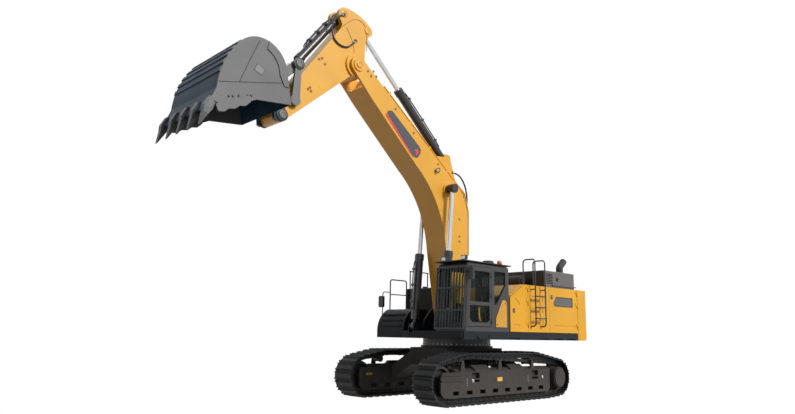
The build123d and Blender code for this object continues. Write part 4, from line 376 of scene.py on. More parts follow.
pin_line, pin_runs = chain_line(LINK_COUNT)
link_normal = np.stack([pin_runs[:, 1], -pin_runs[:, 0]], axis=-1)
link_normal /= np.linalg.norm(link_normal, axis=1, keepdims=True)
shape = np.array(LINK_SHAPE)
link_side = (pin_line[:, None] + (shape[:, :1] + 0.5) * pin_runs[:, None]
             + shape[:, 1:] * link_normal[:, None])
for word, node in (("left", "track_left"), ("right", "track_right")):
    track_low, track_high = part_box(node)
    middle = (track_low[1] + track_high[1]) / 2
    sides_y = np.array([middle - STRAND_SIDE - LINK_PROUD, middle + STRAND_SIDE])
    across = np.broadcast_to(sides_y[:, None, None, None], (2, *link_side.shape[:2], 1))
    both = np.broadcast_to(link_side, (2, *link_side.shape))
    plates(f"chain_links_{word}", np.concatenate([both[..., :1], across, both[..., 1:]], axis=-1)
           .reshape(-1, len(LINK_SHAPE), 3), (0.0, LINK_PROUD, 0.0), "undercarriage", track_steel)
    for side in (-1, 1):
        pins = np.stack([pin_line[:, 0], np.full(LINK_COUNT, middle + side * (STRAND_SIDE + LINK_PROUD)),
                         pin_line[:, 1]], axis=-1)
        turned(f"chain_pins_{word}_{'outer' if side > 0 else 'inner'}",
               ((0.030, -0.004), (0.030, 0.006), (0.022, 0.012)), pins, (0.0, side, 0.0), "undercarriage",
               track_steel, sides=10)

# ---- Undercarriage ----
# Welded plate side frames and an X-shaped centre frame carry the slew ring, all sprayed one dark grey.
# Bolts, covers and blank reflector plates are screwed to their outer faces.
frame_grey = weathered("frame_grey", (0.045, 0.042, 0.041), (0.16, 0.15, 0.14), tone=0.18, chips=0.25,
                       soil=0.35, soil_top=1.6, grain=70.0, rough=0.5, gloss=0.16, bump=0.12)
ring_steel = weathered("ring_steel", (0.040, 0.040, 0.042), (0.2, 0.2, 0.2), tone=0.2, chips=0.3, soil=0.2,
                       grain=50.0, rough=0.42, metal=0.3, bump=0.2)
dress(frame_grey, "track_frame_left", "track_frame_right", "centre_frame", "final_drives")
dress(ring_steel, "slew_ring_lower", "slew_ring_upper")

bolt_zinc = weathered("bolt_zinc", (0.42, 0.42, 0.43), (0.2, 0.2, 0.2), tone=0.2, chips=0.2, soil=0.2,
                      grain=120.0, rough=0.35, metal=0.8, bump=0.1)
signal_yellow = weathered("signal_yellow", (0.93, 0.50, 0.03), (0.5, 0.3, 0.05), tone=0.05, chips=0.0,
                          soil=0.05, grain=260.0, rough=0.25, coat=0.5, bump=0.15, bump_depth=0.001)
plate_black = weathered("plate_black", (0.010, 0.010, 0.012), (0.05, 0.05, 0.05), tone=0.05, chips=0.0,
                        soil=0.1, grain=200.0, rough=0.35, bump=0.05)
HEX_HEAD = ((0.017, 0.0), (0.017, 0.009), (0.013, 0.012))       # radius and height of a bolt's head
RING_BOLTS = 44
turn = np.arange(RING_BOLTS) * 2 * np.pi / RING_BOLTS
ring_radius = (slew_high[0] - slew_low[0]) / 2
outward = np.stack([np.cos(turn), np.sin(turn), np.zeros(RING_BOLTS)], axis=-1)
turned("slew_bolts", HEX_HEAD,
       SLEW_AXIS + outward * ring_radius + (0.0, 0.0, (slew_low[2] + slew_high[2]) / 2),
       outward, "undercarriage", bolt_zinc, sides=6)

FRAME_SIDE = 1.695          # outer face of the left side frame
RIGHT_INNER = -1.245        # inner face of the right side frame
plates("reflector", upright(((0.14, 0.535), (0.35, 0.535), (0.35, 0.635), (0.14, 0.635)), FRAME_SIDE),
       (0.0, 0.004, 0.0), "undercarriage", signal_yellow, bevel=0.002)
plates("reflector_mount", upright(((0.36, 0.535), (0.45, 0.535), (0.45, 0.635), (0.36, 0.635)), FRAME_SIDE),
       (0.0, 0.006, 0.0), "undercarriage", plate_black, bevel=0.002)
plates("blank_marker", upright(((2.06, 0.585), (2.28, 0.585), (2.28, 0.645), (2.06, 0.645)), RIGHT_INNER),
       (0.0, 0.004, 0.0), "undercarriage", signal_yellow, bevel=0.002)
frame_bolts = [(x, FRAME_SIDE, z) for x in (1.572, -0.990) for z in (0.48, 0.53, 0.58, 0.63)]
turned("frame_bolts", HEX_HEAD, at(frame_bolts), (0.0, 1.0, 0.0), "undercarriage", bolt_zinc,
       sides=6)
turned("grease_covers", ((0.045, 0.0), (0.045, 0.008), (0.030, 0.016)),
       at([(1.33, FRAME_SIDE, 0.581), (-1.70, FRAME_SIDE, 0.582)]), (0.0, 1.0, 0.0), "undercarriage",
       bolt_zinc)

# ---- Deck ----
# The revolving frame is welded box section; its side skirts, steps and tanks are dark grey sheet steel.
deck_grey = weathered("deck_grey", (0.014, 0.017, 0.021), (0.14, 0.13, 0.12), tone=0.15, chips=0.15, soil=0.1,
                      soil_top=2.2, grain=80.0, rough=0.5, gloss=0.14, bump=0.1)
tank_black = weathered("tank_black", (0.016, 0.018, 0.023), (0.09, 0.09, 0.10), tone=0.2, chips=0.1, soil=0.1,
                       soil_top=2.4, grain=90.0, rough=0.36, gloss=0.12, coat=0.0, bump=0.1)
rail_black = weathered("rail_black", (0.018, 0.019, 0.022), (0.10, 0.10, 0.11), tone=0.1, chips=0.15,
                       soil=0.05, grain=120.0, rough=0.4, bump=0.1)
dress(deck_grey, "upper_frame")
dress(tank_black, "tool_box", "fuel_tank")
dress(rail_black, "right_handrail", "ladder")


def flowing(corners, rounds=3):
    """A run whose corners are cut off again and again, at a quarter and three quarters of each stretch."""
    path = np.asarray(corners, float)
    for _ in range(rounds):
        cut = np.stack([0.75 * path[:-1] + 0.25 * path[1:], 0.25 * path[:-1] + 0.75 * path[1:]], axis=1)
        path = np.concatenate([path[:1], cut.reshape(-1, 3), path[-1:]])
    return path


def rod(name, path, radius, across, body, finish, sides=10):
    """A round rod along a path on the plane square to across. Ring k is
    path_k + radius (cos a n_k + sin a across), where n_k is square to the run and to across."""
    run = np.gradient(path, axis=0)
    run /= np.linalg.norm(run, axis=1, keepdims=True)
    across = np.asarray(across, float)
    normal = np.cross(across, run)
    normal /= np.linalg.norm(normal, axis=1, keepdims=True)
    angle = np.arange(sides)[:, None] * 2 * np.pi / sides
    points = path[:, None] + radius * (np.cos(angle) * normal[:, None] + np.sin(angle) * across)
    return piece(name, points, wrapped(len(path), sides), body, finish)


SKIRT_SIDE = 1.950          # outer face of the deck's side
rod("sill_rail", flowing(at([(1.48, SKIRT_SIDE, 1.70), (1.46, SKIRT_SIDE + 0.025, 1.62),
                             (1.40, SKIRT_SIDE + 0.025, 1.61), (1.05, SKIRT_SIDE + 0.025, 1.61),
                             (0.98, SKIRT_SIDE + 0.025, 1.62), (0.96, SKIRT_SIDE, 1.70)])),
    0.014, (0.0, 1.0, 0.0), "upper", deck_grey)
turned("deck_stud", ((0.040, 0.0), (0.040, 0.010), (0.026, 0.018)), at([(1.945, 1.65, 1.70)]),
       (1.0, 0.0, 0.0), "upper", bolt_zinc)

# ---- Cab ----
# A pressed and welded frame round tinted glass, with a bolted bar guard in front and a visor plate above.
cab_grey = weathered("cab_grey", (0.046, 0.044, 0.044), (0.2, 0.19, 0.18), tone=0.1, chips=0.05, soil=0.05,
                     soil_top=2.4, grain=140.0, rough=0.42, gloss=0.35, coat=0.1, bump=0.06)
guard_black = weathered("guard_black", (0.014, 0.015, 0.018), (0.09, 0.09, 0.10), tone=0.1, chips=0.1,
                        soil=0.05, grain=110.0, rough=0.42, bump=0.08)
trim_black = weathered("trim_black", (0.020, 0.021, 0.024), (0.08, 0.08, 0.09), tone=0.1, chips=0.0,
                       soil=0.05, grain=260.0, rough=0.55, bump=0.2, bump_depth=0.001)


def tinted_glass(name, colour, rough=0.03):
    """Safety glass with a grey-green tint, faintly wavy, that shows the interior through it."""
    material, tree = new_material(name)
    place = wire(tree, "ShaderNodeTexCoord").outputs["Object"]
    wave = cloud(tree, place, 2.2, 1.0)
    relief = wire(tree, "ShaderNodeBump", {"Height": wave, "Strength": 0.05, "Distance": 0.01})
    film = stretch(tree, cloud(tree, place, 9.0, 4.0), 0.45, 0.8, rough, rough + 0.10)
    skin = wire(tree, "ShaderNodeBsdfPrincipled",
                {"Base Color": (*colour, 1), "Roughness": film, "Transmission Weight": 1.0, "IOR": 1.12,
                 "Normal": relief.outputs[0]})
    clear = wire(tree, "ShaderNodeBsdfTransparent", {"Color": (*colour, 1)})
    path = wire(tree, "ShaderNodeLightPath").outputs["Is Shadow Ray"]
    either = wire(tree, "ShaderNodeMixShader", {0: path, 1: skin.outputs[0], 2: clear.outputs[0]})
    wire(tree, "ShaderNodeOutputMaterial", {"Surface": either.outputs[0]})
    return material


cab_pane = tinted_glass("cab_pane", (0.62, 0.70, 0.69))
seat_plastic = weathered("seat_plastic", (0.022, 0.022, 0.024), (0.08, 0.08, 0.08), tone=0.1, chips=0.0,
                         soil=0.0, grain=300.0, rough=0.6, bump=0.3, bump_depth=0.001)
dress(cab_grey, "cab_shell", "cab_door")
dress(guard_black, "cab_guard", "roof_plate")
dress(trim_black, "roof_fittings")
dress(cab_pane, "cab_glass", "door_glass")
dress(guard_black, "mirrors")


def perforated_group():
    """Round holes in square order over the X and Z of an upright sheet: 1 in a hole, 0 on the metal."""
    tree, given, made = new_group("perforated", {"Holes a metre": ("NodeSocketFloat", 45.0)},
                                  {"Hole": "NodeSocketFloat"})
    place = wire(tree, "ShaderNodeSeparateXYZ", {0: wire(tree, "ShaderNodeTexCoord").outputs["Object"]})
    squared = []
    for axis in (0, 2):
        counted = wire(tree, "ShaderNodeMath", {0: place.outputs[axis], 1: given.outputs[0]},
                       operation="MULTIPLY")
        within = wire(tree, "ShaderNodeMath", {0: counted.outputs[0]}, operation="FRACT")
        centred = wire(tree, "ShaderNodeMath", {0: within.outputs[0], 1: 0.5}, operation="SUBTRACT")
        squared.append(times(tree, centred.outputs[0], centred.outputs[0]))
    reach = wire(tree, "ShaderNodeMath", {0: squared[0], 1: squared[1]}, operation="ADD").outputs[0]
    tree.links.new(stretch(tree, reach, 0.055, 0.075, 1.0, 0.0), made.inputs["Hole"])
    return tree


PERFORATED = perforated_group()


def perforated_yellow():
    """Yellow sheet steel punched with small holes, coloured dark brown in them as painted shade."""
    material, tree = new_material("perforated_yellow")
    hole = wire(tree, "ShaderNodeGroup", node_tree=PERFORATED).outputs["Hole"]
    surface = wire(tree, "ShaderNodeGroup", node_tree=WEATHERED)
    surface.inputs["Colour"].default_value = (*YELLOW, 1)
    surface.inputs["Roughness"].default_value = 0.4
    # The holes take a dim brown: painted shade where they open into the dark behind the sheet.
    colour = blended(tree, hole, surface.outputs["Colour"], (0.12, 0.055, 0.01, 1))
    sunk = wire(tree, "ShaderNodeBump", {"Height": hole, "Strength": 0.6, "Distance": 0.004}, invert=True)
    skin = wire(tree, "ShaderNodeBsdfPrincipled",
                {"Base Color": colour, "Roughness": surface.outputs["Roughness"], "Normal": sunk.outputs[0]})
    wire(tree, "ShaderNodeOutputMaterial", {"Surface": skin.outputs[0]})
    return material


YELLOW = (0.90, 0.442, 0.022)
CAB_SIDE = 1.950            # outer face of the cab's left wall
VENT = ((0.258, 2.540), (0.258, 1.905), (0.723, 1.905), (0.718, 2.130), (0.470, 2.560), (0.420, 2.605),
        (0.330, 2.612))
vent = np.array(VENT)
vent_spokes = vent - vent.mean(axis=0)
surround = vent + 0.028 * vent_spokes / np.linalg.norm(vent_spokes, axis=1, keepdims=True)
plates("side_vent_surround", upright(surround, CAB_SIDE), (0.0, 0.005, 0.0), "upper", guard_black,
       bevel=0.002)
plates("side_vent", upright(vent, CAB_SIDE + 0.005), (0.0, 0.007, 0.0), "upper", perforated_yellow(),
       bevel=0.003)
turned("side_vent_bolts", HEX_HEAD, at([(0.66, CAB_SIDE + 0.012, 1.97), (0.33, CAB_SIDE + 0.012, 2.52)]),
       (0.0, 1.0, 0.0), "upper", plate_black, sides=6)

# The suspension seat is foam under cloth on a sprung plinth, between two consoles with a joystick each.
seat_cloth = weathered("seat_cloth", (0.030, 0.031, 0.034), (0.09, 0.09, 0.09), tone=0.12, chips=0.0,
                       soil=0.0, grain=900.0, rough=0.85, gloss=0.2, bump=0.6, bump_depth=0.002)
seat_low, seat_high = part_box("operator_seat")
seat_middle = (seat_low[1] + seat_high[1]) / 2
SQUARENESS = 0.32           # power that squares a cushion's plan
BORDER = 0.55               # power that rounds its border


def cushion(name, centre, half, tilt):
    """A crowned cushion: with c and s the cosine and sine taken to a power, its surface is
    (a c(u) c(v), b s(u) c(v), h s(v)), with two channels sewn into the top and its border drawn in."""
    u = np.linspace(0.0, 2 * np.pi, 56, endpoint=False)
    v = np.linspace(-0.97, 0.97, 31)[:, None] * np.pi / 2

    def powered(value, power):
        return np.sign(value) * np.abs(value) ** power

    border = powered(np.cos(v), BORDER)
    forward = half[0] * powered(np.cos(u), SQUARENESS) * border
    left = half[1] * powered(np.sin(u), SQUARENESS) * border
    up = half[2] * powered(np.sin(v), 0.8) * np.ones_like(u)
    waist = 1.0 - 0.035 * np.exp(-(v / 0.10) ** 2) - 0.03 * np.cos(u) ** 2 * np.sin(u) ** 2 * 4
    forward, left = forward * waist, left * waist
    for line in (-0.45, 0.45):
        up = up - 0.012 * np.exp(-((left - line * half[1]) / 0.014) ** 2) * (v > 0)
    points = np.stack([forward * np.cos(tilt) + up * np.sin(tilt), left,
                       up * np.cos(tilt) - forward * np.sin(tilt)],
                      axis=-1) + np.asarray(centre)
    return piece(name, points, wrapped(*points.shape[:2]), "upper", seat_cloth)


squab = cushion("seat_cushion", (seat_low[0] + 0.35, seat_middle, seat_low[2] + 0.40), (0.265, 0.255, 0.070),
                -0.06)
backrest = cushion("seat_back", (seat_low[0] + 0.145, seat_middle, seat_low[2] + 0.76), (0.30, 0.235, 0.062),
                   1.72)
plinth_rings = ((0.20, 0.004), (0.22, 0.03), (0.22, 0.10), (0.15, 0.16), (0.15, 0.24), (0.21, 0.29),
                (0.22, 0.33))
plinth = turned("seat_plinth", plinth_rings, (seat_low[0] + 0.33, seat_middle, seat_low[2]), (0.0, 0.0, 1.0),
                "upper", seat_plastic, sides=8)
CONSOLE = ((0.13, 0.335), (0.66, 0.335), (0.68, 0.50), (0.62, 0.585), (0.30, 0.610), (0.14, 0.600))
console = np.array(CONSOLE)
console_sides = [np.stack([seat_low[0] + console[:, 0], np.full(len(console), seat_middle + y), seat_low[2]
                           + console[:, 1]], axis=-1) for y in (-0.352, 0.252)]
consoles = plates("seat_consoles", console_sides, (0.0, 0.10, 0.0), "upper", seat_plastic,
                  bevel=0.02)
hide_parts("operator_seat")
for part in (backrest, plinth, consoles):
    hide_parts("operator_seat")
joystick_rings = ((0.034, 0.0), (0.030, 0.03), (0.012, 0.05), (0.012, 0.10), (0.022, 0.12), (0.026, 0.18),
                  (0.014, 0.205))
turned("joysticks", joystick_rings,
       [(seat_low[0] + 0.60, seat_middle + y, seat_low[2] + 0.56) for y in (-0.302, 0.302)], (0.25, 0.0, 1.0),
       "upper", trim_black, sides=14)
rod("safety_lever", flowing([(seat_low[0] + 0.70, seat_middle + 0.30, seat_low[2] + 0.50),
                             (seat_low[0] + 0.74, seat_middle + 0.30, seat_low[2] + 0.44),
                             (seat_low[0] + 0.72, seat_middle + 0.30, seat_low[2] + 0.20),
                             (seat_low[0] + 0.66, seat_middle + 0.30, seat_low[2] + 0.16)]),
    0.022, (0.0, 1.0, 0.0), "upper", signal_yellow)

# The warning beacon's cap is orange plastic; the roof lamps have pressed glass over a bright bowl.
beacon_orange = weathered("beacon_orange", (0.95, 0.13, 0.02), (0.5, 0.1, 0.05), tone=0.05, chips=0.0,
                          soil=0.0, grain=200.0, rough=0.15, coat=0.8, bump=0.1)
lamp_glass = weathered("lamp_glass", (0.70, 0.73, 0.76), (0.4, 0.4, 0.4), tone=0.05, chips=0.0, soil=0.0,
                       grain=240.0, rough=0.10, metal=0.5, coat=0.8, bump=0.5, bump_depth=0.002)
roof_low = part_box("roof_fittings")[0]
plate_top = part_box("roof_plate")[1][2]
turned("beacon_cap", ((0.066, 0.040), (0.068, 0.075), (0.058, 0.112), (0.030, 0.130)),
       (roof_low[0] + 0.085, seat_middle + 0.30, plate_top), (0.0, 0.0, 1.0), "upper", beacon_orange)
LAMP_FRONT = 1.805          # front of the roof lamps, in the machine's own frame
for word, y in (("left", 1.780), ("right", 1.120)):
    lens = at([(LAMP_FRONT, y - 0.062, 3.568), (LAMP_FRONT, y + 0.062, 3.568), (LAMP_FRONT, y + 0.062, 3.652),
               (LAMP_FRONT, y - 0.062, 3.652)])
    plates(f"roof_lamp_glass_{word}", lens, (0.006, 0.0, 0.0), "upper", lamp_glass,
           bevel=0.003)

# ---- Housing, doors and counterweight ----
# Pressed steel panels over the pumps, coolers and engine, hung on pin hinges, and a cast counterweight
# behind; all wear the same warm yellow enamel.
YELLOW_CHIP = (0.35, 0.17, 0.05)
panel_yellow = weathered("panel_yellow", YELLOW, YELLOW_CHIP, tone=0.10, chips=0.05, soil=0.05, soil_top=2.2,
                         grain=150.0, rough=0.36, gloss=0.3, coat=0.05, bump=0.05, bump_depth=0.001)
casting_yellow = weathered("casting_yellow", YELLOW, YELLOW_CHIP, tone=0.12, chips=0.08, soil=0.05,
                           soil_top=2.2, grain=45.0, rough=0.42, gloss=0.3, coat=0.05, bump=0.15,
                           bump_depth=0.003)
hood_grey = weathered("hood_grey", (0.118, 0.108, 0.106), (0.22, 0.21, 0.20), tone=0.1, chips=0.05, soil=0.0,
                      grain=130.0, rough=0.45, coat=0.1, bump=0.06)


def copied(base, name):
    """A copy of a weathered finish: the material, its nodes, its skin and its colour group."""
    material = base.copy()
    material.name = name
    nodes = material.node_tree.nodes
    skin = next(node for node in nodes if node.type == "BSDF_PRINCIPLED")
    surface = next(node for node in nodes if node.type == "GROUP")
    return material, material.node_tree, skin, surface


def shaded_past_edge(name, base, second, edge, axis):
    """The base finish, changed to a second colour where the coordinate on the axis passes an edge: painted
    shade on the face past it.
    """
    material, tree, skin, surface = copied(base, name)
    place = wire(tree, "ShaderNodeSeparateXYZ", {0: wire(tree, "ShaderNodeTexCoord").outputs["Object"]})
    painted_shade_mask = stretch(tree, place.outputs[axis], edge - 0.003, edge + 0.003)
    tree.links.new(blended(tree, painted_shade_mask, surface.outputs["Colour"], (*second, 1)), skin.inputs["Base Color"])
    return material


hood_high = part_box("engine_hood")[1]
# The hood's front face, its last 45 mm forward, is coloured near black: painted shade, not a second paint.
hood_painted_shade = shaded_past_edge("hood_painted_shade", hood_grey, (0.012, 0.013, 0.016), hood_high[0] - 0.045, 0)
soot_black = weathered("soot_black", (0.014, 0.014, 0.015), (0.10, 0.075, 0.06), tone=0.2, chips=0.3,
                       soil=0.0, grain=50.0, rough=0.6, bump=0.2)
dress(panel_yellow, "body_housing", "left_front_door", "left_rear_door", "side_panels", "right_rear_door",
      "stair_plate")
dress(casting_yellow, "counterweight")
dress(hood_painted_shade, "engine_hood")
dress(hood_grey, "engine_block")
dress(soot_black, "exhaust_stack", "air_cleaner")

DOOR_FACE = 1.950           # outer face of the side doors
DOOR_WELL = 1.936           # floor of the pressed recess in them
HOOD_LEDGE = 1.880          # left face of the hood
window_well = np.array(((-2.988, 2.542), (-2.022, 2.542), (-1.963, 2.640), (-2.112, 2.818), (-2.988, 2.818)))
window = window_well.mean(axis=0) + (0.95, 0.86) * (window_well - window_well.mean(axis=0))
plates("door_window_seal", upright(window_well, DOOR_WELL), (0.0, 0.003, 0.0), "left_rear_door", plate_black)
plates("door_window", upright(window, DOOR_WELL + 0.003), (0.0, 0.006, 0.0), "left_rear_door", hood_grey,
       bevel=0.003)
# Paddle latches sink into black plates, and the hood has a round one.
LATCHES = (("left_front_door", -0.062, 2.355), ("left_rear_door", -1.880, 2.800))
for body, x, z in LATCHES:
    corners = ((x - 0.045, z - 0.055), (x + 0.045, z - 0.055), (x + 0.045, z + 0.055), (x - 0.045, z + 0.055))
    plates(f"{body}_latch", upright(corners, DOOR_FACE), (0.0, 0.008, 0.0), body, plate_black,
           bevel=0.003)
    turned(f"{body}_lock", ((0.016, 0.0), (0.016, 0.006), (0.010, 0.009)), at([(x, DOOR_FACE + 0.008, z)]),
           (0.0, 1.0, 0.0), body, bolt_zinc)
turned("hood_latch", ((0.058, 0.0), (0.058, 0.012), (0.044, 0.014), (0.040, 0.006), (0.020, 0.006),
                      (0.018, 0.016)),
       at([(-2.306, HOOD_LEDGE, 3.330)]), (0.0, 1.0, 0.0), "engine_hood",
       plate_black)

# ---- Boom, arm and their cylinders ----
# Box beams welded from thick plate round cast ends, painted yellow; black cylinders with hard-chromed rods.
beam_yellow = weathered("beam_yellow", YELLOW, YELLOW_CHIP, tone=0.10, chips=0.06, soil=0.0, grain=60.0,
                        rough=0.40, coat=0.25, bump=0.07, bump_depth=0.002)
cylinder_black = weathered("cylinder_black", (0.016, 0.017, 0.020), (0.09, 0.09, 0.10), tone=0.1, chips=0.1,
                           soil=0.0, grain=90.0, rough=0.32, gloss=0.5, coat=0.2, bump=0.06)
rod_chrome = weathered("rod_chrome", (0.62, 0.63, 0.65), (0.4, 0.4, 0.42), tone=0.08, chips=0.1, soil=0.0,
                       grain=200.0, rough=0.16, metal=1.0, bump=0.02, bump_depth=0.001)
dress(beam_yellow, "boom", "arm", "boom_pipes")
dress(cylinder_black, "boom_cylinder_barrels", "arm_cylinder_barrel", "bucket_cylinder_barrel")
dress(rod_chrome, "boom_cylinder_rods", "arm_cylinder_rod", "bucket_cylinder_rod")

# A long dark film with a red stripe lies on the left side of the boom; it is left blank.
banner_slate = weathered("banner_slate", (0.055, 0.060, 0.070), (0.1, 0.1, 0.1), tone=0.08, chips=0.0,
                         soil=0.0, grain=300.0, rough=0.3, coat=0.4, bump=0.05, bump_depth=0.001)
banner_red = weathered("banner_red", (0.80, 0.045, 0.040), (0.3, 0.1, 0.1), tone=0.05, chips=0.0, soil=0.0,
                       grain=300.0, rough=0.3, coat=0.4, bump=0.05, bump_depth=0.001)
BOOM_SIDE = 0.365           # outer faces of the boom, its tip and the arm
BOOM_TIP_SIDE = 0.395
ARM_SIDE = 0.235
BANNER = ((3.215, 7.400), (3.150, 7.480), (3.015, 7.505), (1.990, 6.755), (1.915, 6.660), (1.925, 6.570),
          (2.020, 6.430), (2.110, 6.395), (2.210, 6.420))
STRIPE = ((3.272, 7.328), (3.225, 7.395), (2.215, 6.420), (2.225, 6.385))
CHEVRON = ((2.175, 6.600), (2.075, 6.660), (1.985, 6.590), (2.080, 6.470), (2.130, 6.505), (2.075, 6.565))
plates("banner_left", upright(BANNER, BOOM_SIDE), (0.0, 0.003, 0.0), "boom", banner_slate)
plates("banner_stripe_left", upright(STRIPE, BOOM_SIDE), (0.0, 0.004, 0.0), "boom", banner_red)
plates("banner_chevron_left", upright(CHEVRON, BOOM_SIDE), (0.0, 0.004, 0.0), "boom", banner_red)

# Threaded pads for pipe clamps are welded to the plates, each with a dark tapped hole.
pad_yellow = weathered("pad_yellow", (0.42, 0.20, 0.022), (0.1, 0.06, 0.02), tone=0.1, chips=0.1, soil=0.0,
                       grain=90.0, rough=0.5, bump=0.1)
PAD = ((0.034, 0.0), (0.034, 0.010), (0.026, 0.014), (0.016, 0.014), (0.014, 0.004))
BOOM_PADS = ((2.900, 7.585), (2.206, 7.079), (1.217, 6.401), (0.300, 4.947), (0.300, 4.452), (0.300, 4.307),
             (3.909, 8.354), (3.802, 8.249), (3.720, 8.400), (3.620, 8.290))
ARM_PADS = ((5.387, 8.250), (5.199, 8.179), (5.671, 7.394), (5.581, 7.369), (5.620, 7.450), (5.300, 8.300),
            (6.020, 7.010), (5.960, 6.980))
for side, word in ((1, "left"), (-1, "right")):
    turned(f"boom_pads_{word}", PAD, upright(BOOM_PADS, side * BOOM_SIDE), (0.0, side, 0.0), "boom",
           pad_yellow, sides=12)
    turned(f"arm_pads_{word}", PAD, upright(ARM_PADS, side * ARM_SIDE), (0.0, side, 0.0), "arm", pad_yellow,
           sides=12)

# Weld beads join the arm's root castings to its side plates.
ROOT_BEAD = ((4.760, 9.300), (4.296, 9.750), (3.950, 9.700), (3.875, 9.450), (3.871, 8.950))
INNER_BEAD = ((4.568, 9.386), (4.366, 9.101), (4.283, 8.853), (4.296, 8.640))
for side, word in ((1, "left"), (-1, "right")):
    for label, line in (("root", ROOT_BEAD), ("inner", INNER_BEAD)):
        rod(f"arm_{label}_bead_{word}", flowing(upright(line, side * (ARM_SIDE + 0.001))), 0.009,
            (0.0, 1.0, 0.0), "arm", pad_yellow, sides=6)
LABEL = ((5.360, 7.575), (5.125, 7.755), (5.035, 7.630), (5.275, 7.455))
plates("arm_label", upright(LABEL, ARM_SIDE), (0.0, 0.003, 0.0), "arm", signal_yellow,
       bevel=0.001)

# Pins are kept by round caps, each with a ring of screws, over black rubber dust seals where a pin works.
CAP = ((0.098, 0.0), (0.098, 0.014), (0.088, 0.020), (0.060, 0.020), (0.054, 0.012), (0.020, 0.012))
SEAL = ((0.150, 0.0), (0.150, 0.012), (0.128, 0.020), (0.100, 0.020))
SEAL_THICK = 0.020
CAP_SCREWS = 6
SCREW_RING = 0.075          # from the pin's axis to the screws


def pin_cap(name, x, z, face, side, body, finish, seal=False):
    """A cap with its screws on one end of a pin, over a rubber seal where the pin works."""
    centre = at([(x, side * face, z)])
    if seal:
        turned(f"{name}_seal", SEAL, centre, (0.0, side, 0.0), body, trim_black, sides=32)
    lifted = centre + (0.0, side * (SEAL_THICK if seal else 0.0), 0.0)
    turned(name, CAP, lifted, (0.0, side, 0.0), body, finish, sides=32)
    turn = np.arange(CAP_SCREWS) * 2 * np.pi / CAP_SCREWS
    around = np.stack([SCREW_RING * np.cos(turn), np.full(CAP_SCREWS, side * 0.020),
                       SCREW_RING * np.sin(turn)], axis=-1)
    screws = lifted + around
    turned(f"{name}_screws", ((0.010, 0.0), (0.010, 0.007), (0.007, 0.010)), screws, (0.0, side, 0.0), body,
           bolt_zinc, sides=6)


for side, word in ((1, "left"), (-1, "right")):
    pin_cap(f"boom_tip_cap_{word}", 4.22, 8.43, BOOM_TIP_SIDE, side, "boom", beam_yellow)
    pin_cap(f"bucket_cylinder_cap_{word}", 4.64, 9.73, ARM_SIDE, side, "arm", beam_yellow)
    pin_cap(f"arm_rod_cap_{word}", 3.85, 9.53, ARM_SIDE, side, "arm", beam_yellow)

# The boom cylinders' upper eyes are black castings with a greased cap.
EYE_BAND = ((0.127, 0.0), (0.129, 0.010), (0.129, 0.226), (0.127, 0.236), (0.085, 0.240), (0.078, 0.232))
for side, word in ((1, "left"), (-1, "right")):
    turned(f"boom_rod_eye_{word}", EYE_BAND, at([(0.820, side * (0.55 - 0.118), 5.730)]), (0.0, side, 0.0),
           "boom_cylinder_rods", cylinder_black, sides=36)

# Work lamp low on the boom's left side, on a bent bracket.
LAMP = ((0.030, 0.0), (0.052, 0.020), (0.062, 0.060), (0.062, 0.085), (0.054, 0.090))
lamp_place, lamp_aim = at([(1.245, 0.425, 6.228)]), (0.75, 0.35, -0.45)
turned("boom_lamp", LAMP, lamp_place, lamp_aim, "boom", plate_black)
turned("boom_lamp_glass", ((0.052, 0.086), (0.046, 0.094), (0.024, 0.099)), lamp_place, lamp_aim, "boom",
       lamp_glass)
rod("boom_lamp_bracket", flowing(at([(1.20, 0.366, 6.16), (1.20, 0.420, 6.17), (1.235, 0.425, 6.22)])), 0.012,
    (1.0, 0.0, 0.0), "boom", plate_black, sides=8)


# Oil pipes run along the barrels in clamps.
def beside(start, end, forward, out):
    """Point forward of start towards end, and out to the left of that line, in the side view."""
    start, end = np.asarray(start), np.asarray(end)
    run = (end - start) / np.linalg.norm(end - start)
    return start + forward * run + out * np.array([-run[1], run[0]])


BARRELS = (("arm_cylinder_barrel", (0.640, 6.700), (3.850, 9.530), 0.35, 2.30, 0.165, (0.0,)),
           ("bucket_cylinder_barrel", (4.640, 9.730), (6.040, 7.890), 0.30, 1.55, 0.150, (0.0,)),
           ("boom_cylinder_barrels", (1.150, 1.900), (0.820, 5.730), 0.45, 1.85, -0.160, (-0.55, 0.55)))
for body, start, end, near, far, out, places in BARRELS:
    for place in places:
        for shift in (-0.045, 0.045):
            line = [beside(start, end, near, out * 0.70), beside(start, end, near + 0.10, out),
                    beside(start, end, far - 0.10, out), beside(start, end, far, out * 0.70)]
            rod(f"{body}_pipe_{place:+.2f}_{shift:+.3f}".replace("+", "p").replace("-", "m"),
                flowing(upright(line, place + shift)), 0.017, (0.0, 1.0, 0.0), body, cylinder_black)
        clamps = [[beside(start, end, along + step, out * height) for step, height in
                   ((-0.03, 0.70), (0.03, 0.70), (0.03, 1.18), (-0.03, 1.18))]
                  for along in (near + 0.25, (near + far) / 2, far - 0.25)]
        plates(f"{body}_clamps_{place:+.2f}".replace("+", "p").replace("-", "m"),
               [upright(clamp, place - 0.075) for clamp in clamps], (0.0, 0.15, 0.0), body, cylinder_black,
               bevel=0.006)

hose_black = weathered("hose_black", (0.014, 0.014, 0.015), (0.06, 0.06, 0.06), tone=0.1, chips=0.0,
                       soil=0.05, grain=300.0, rough=0.55, bump=0.3, bump_depth=0.001)


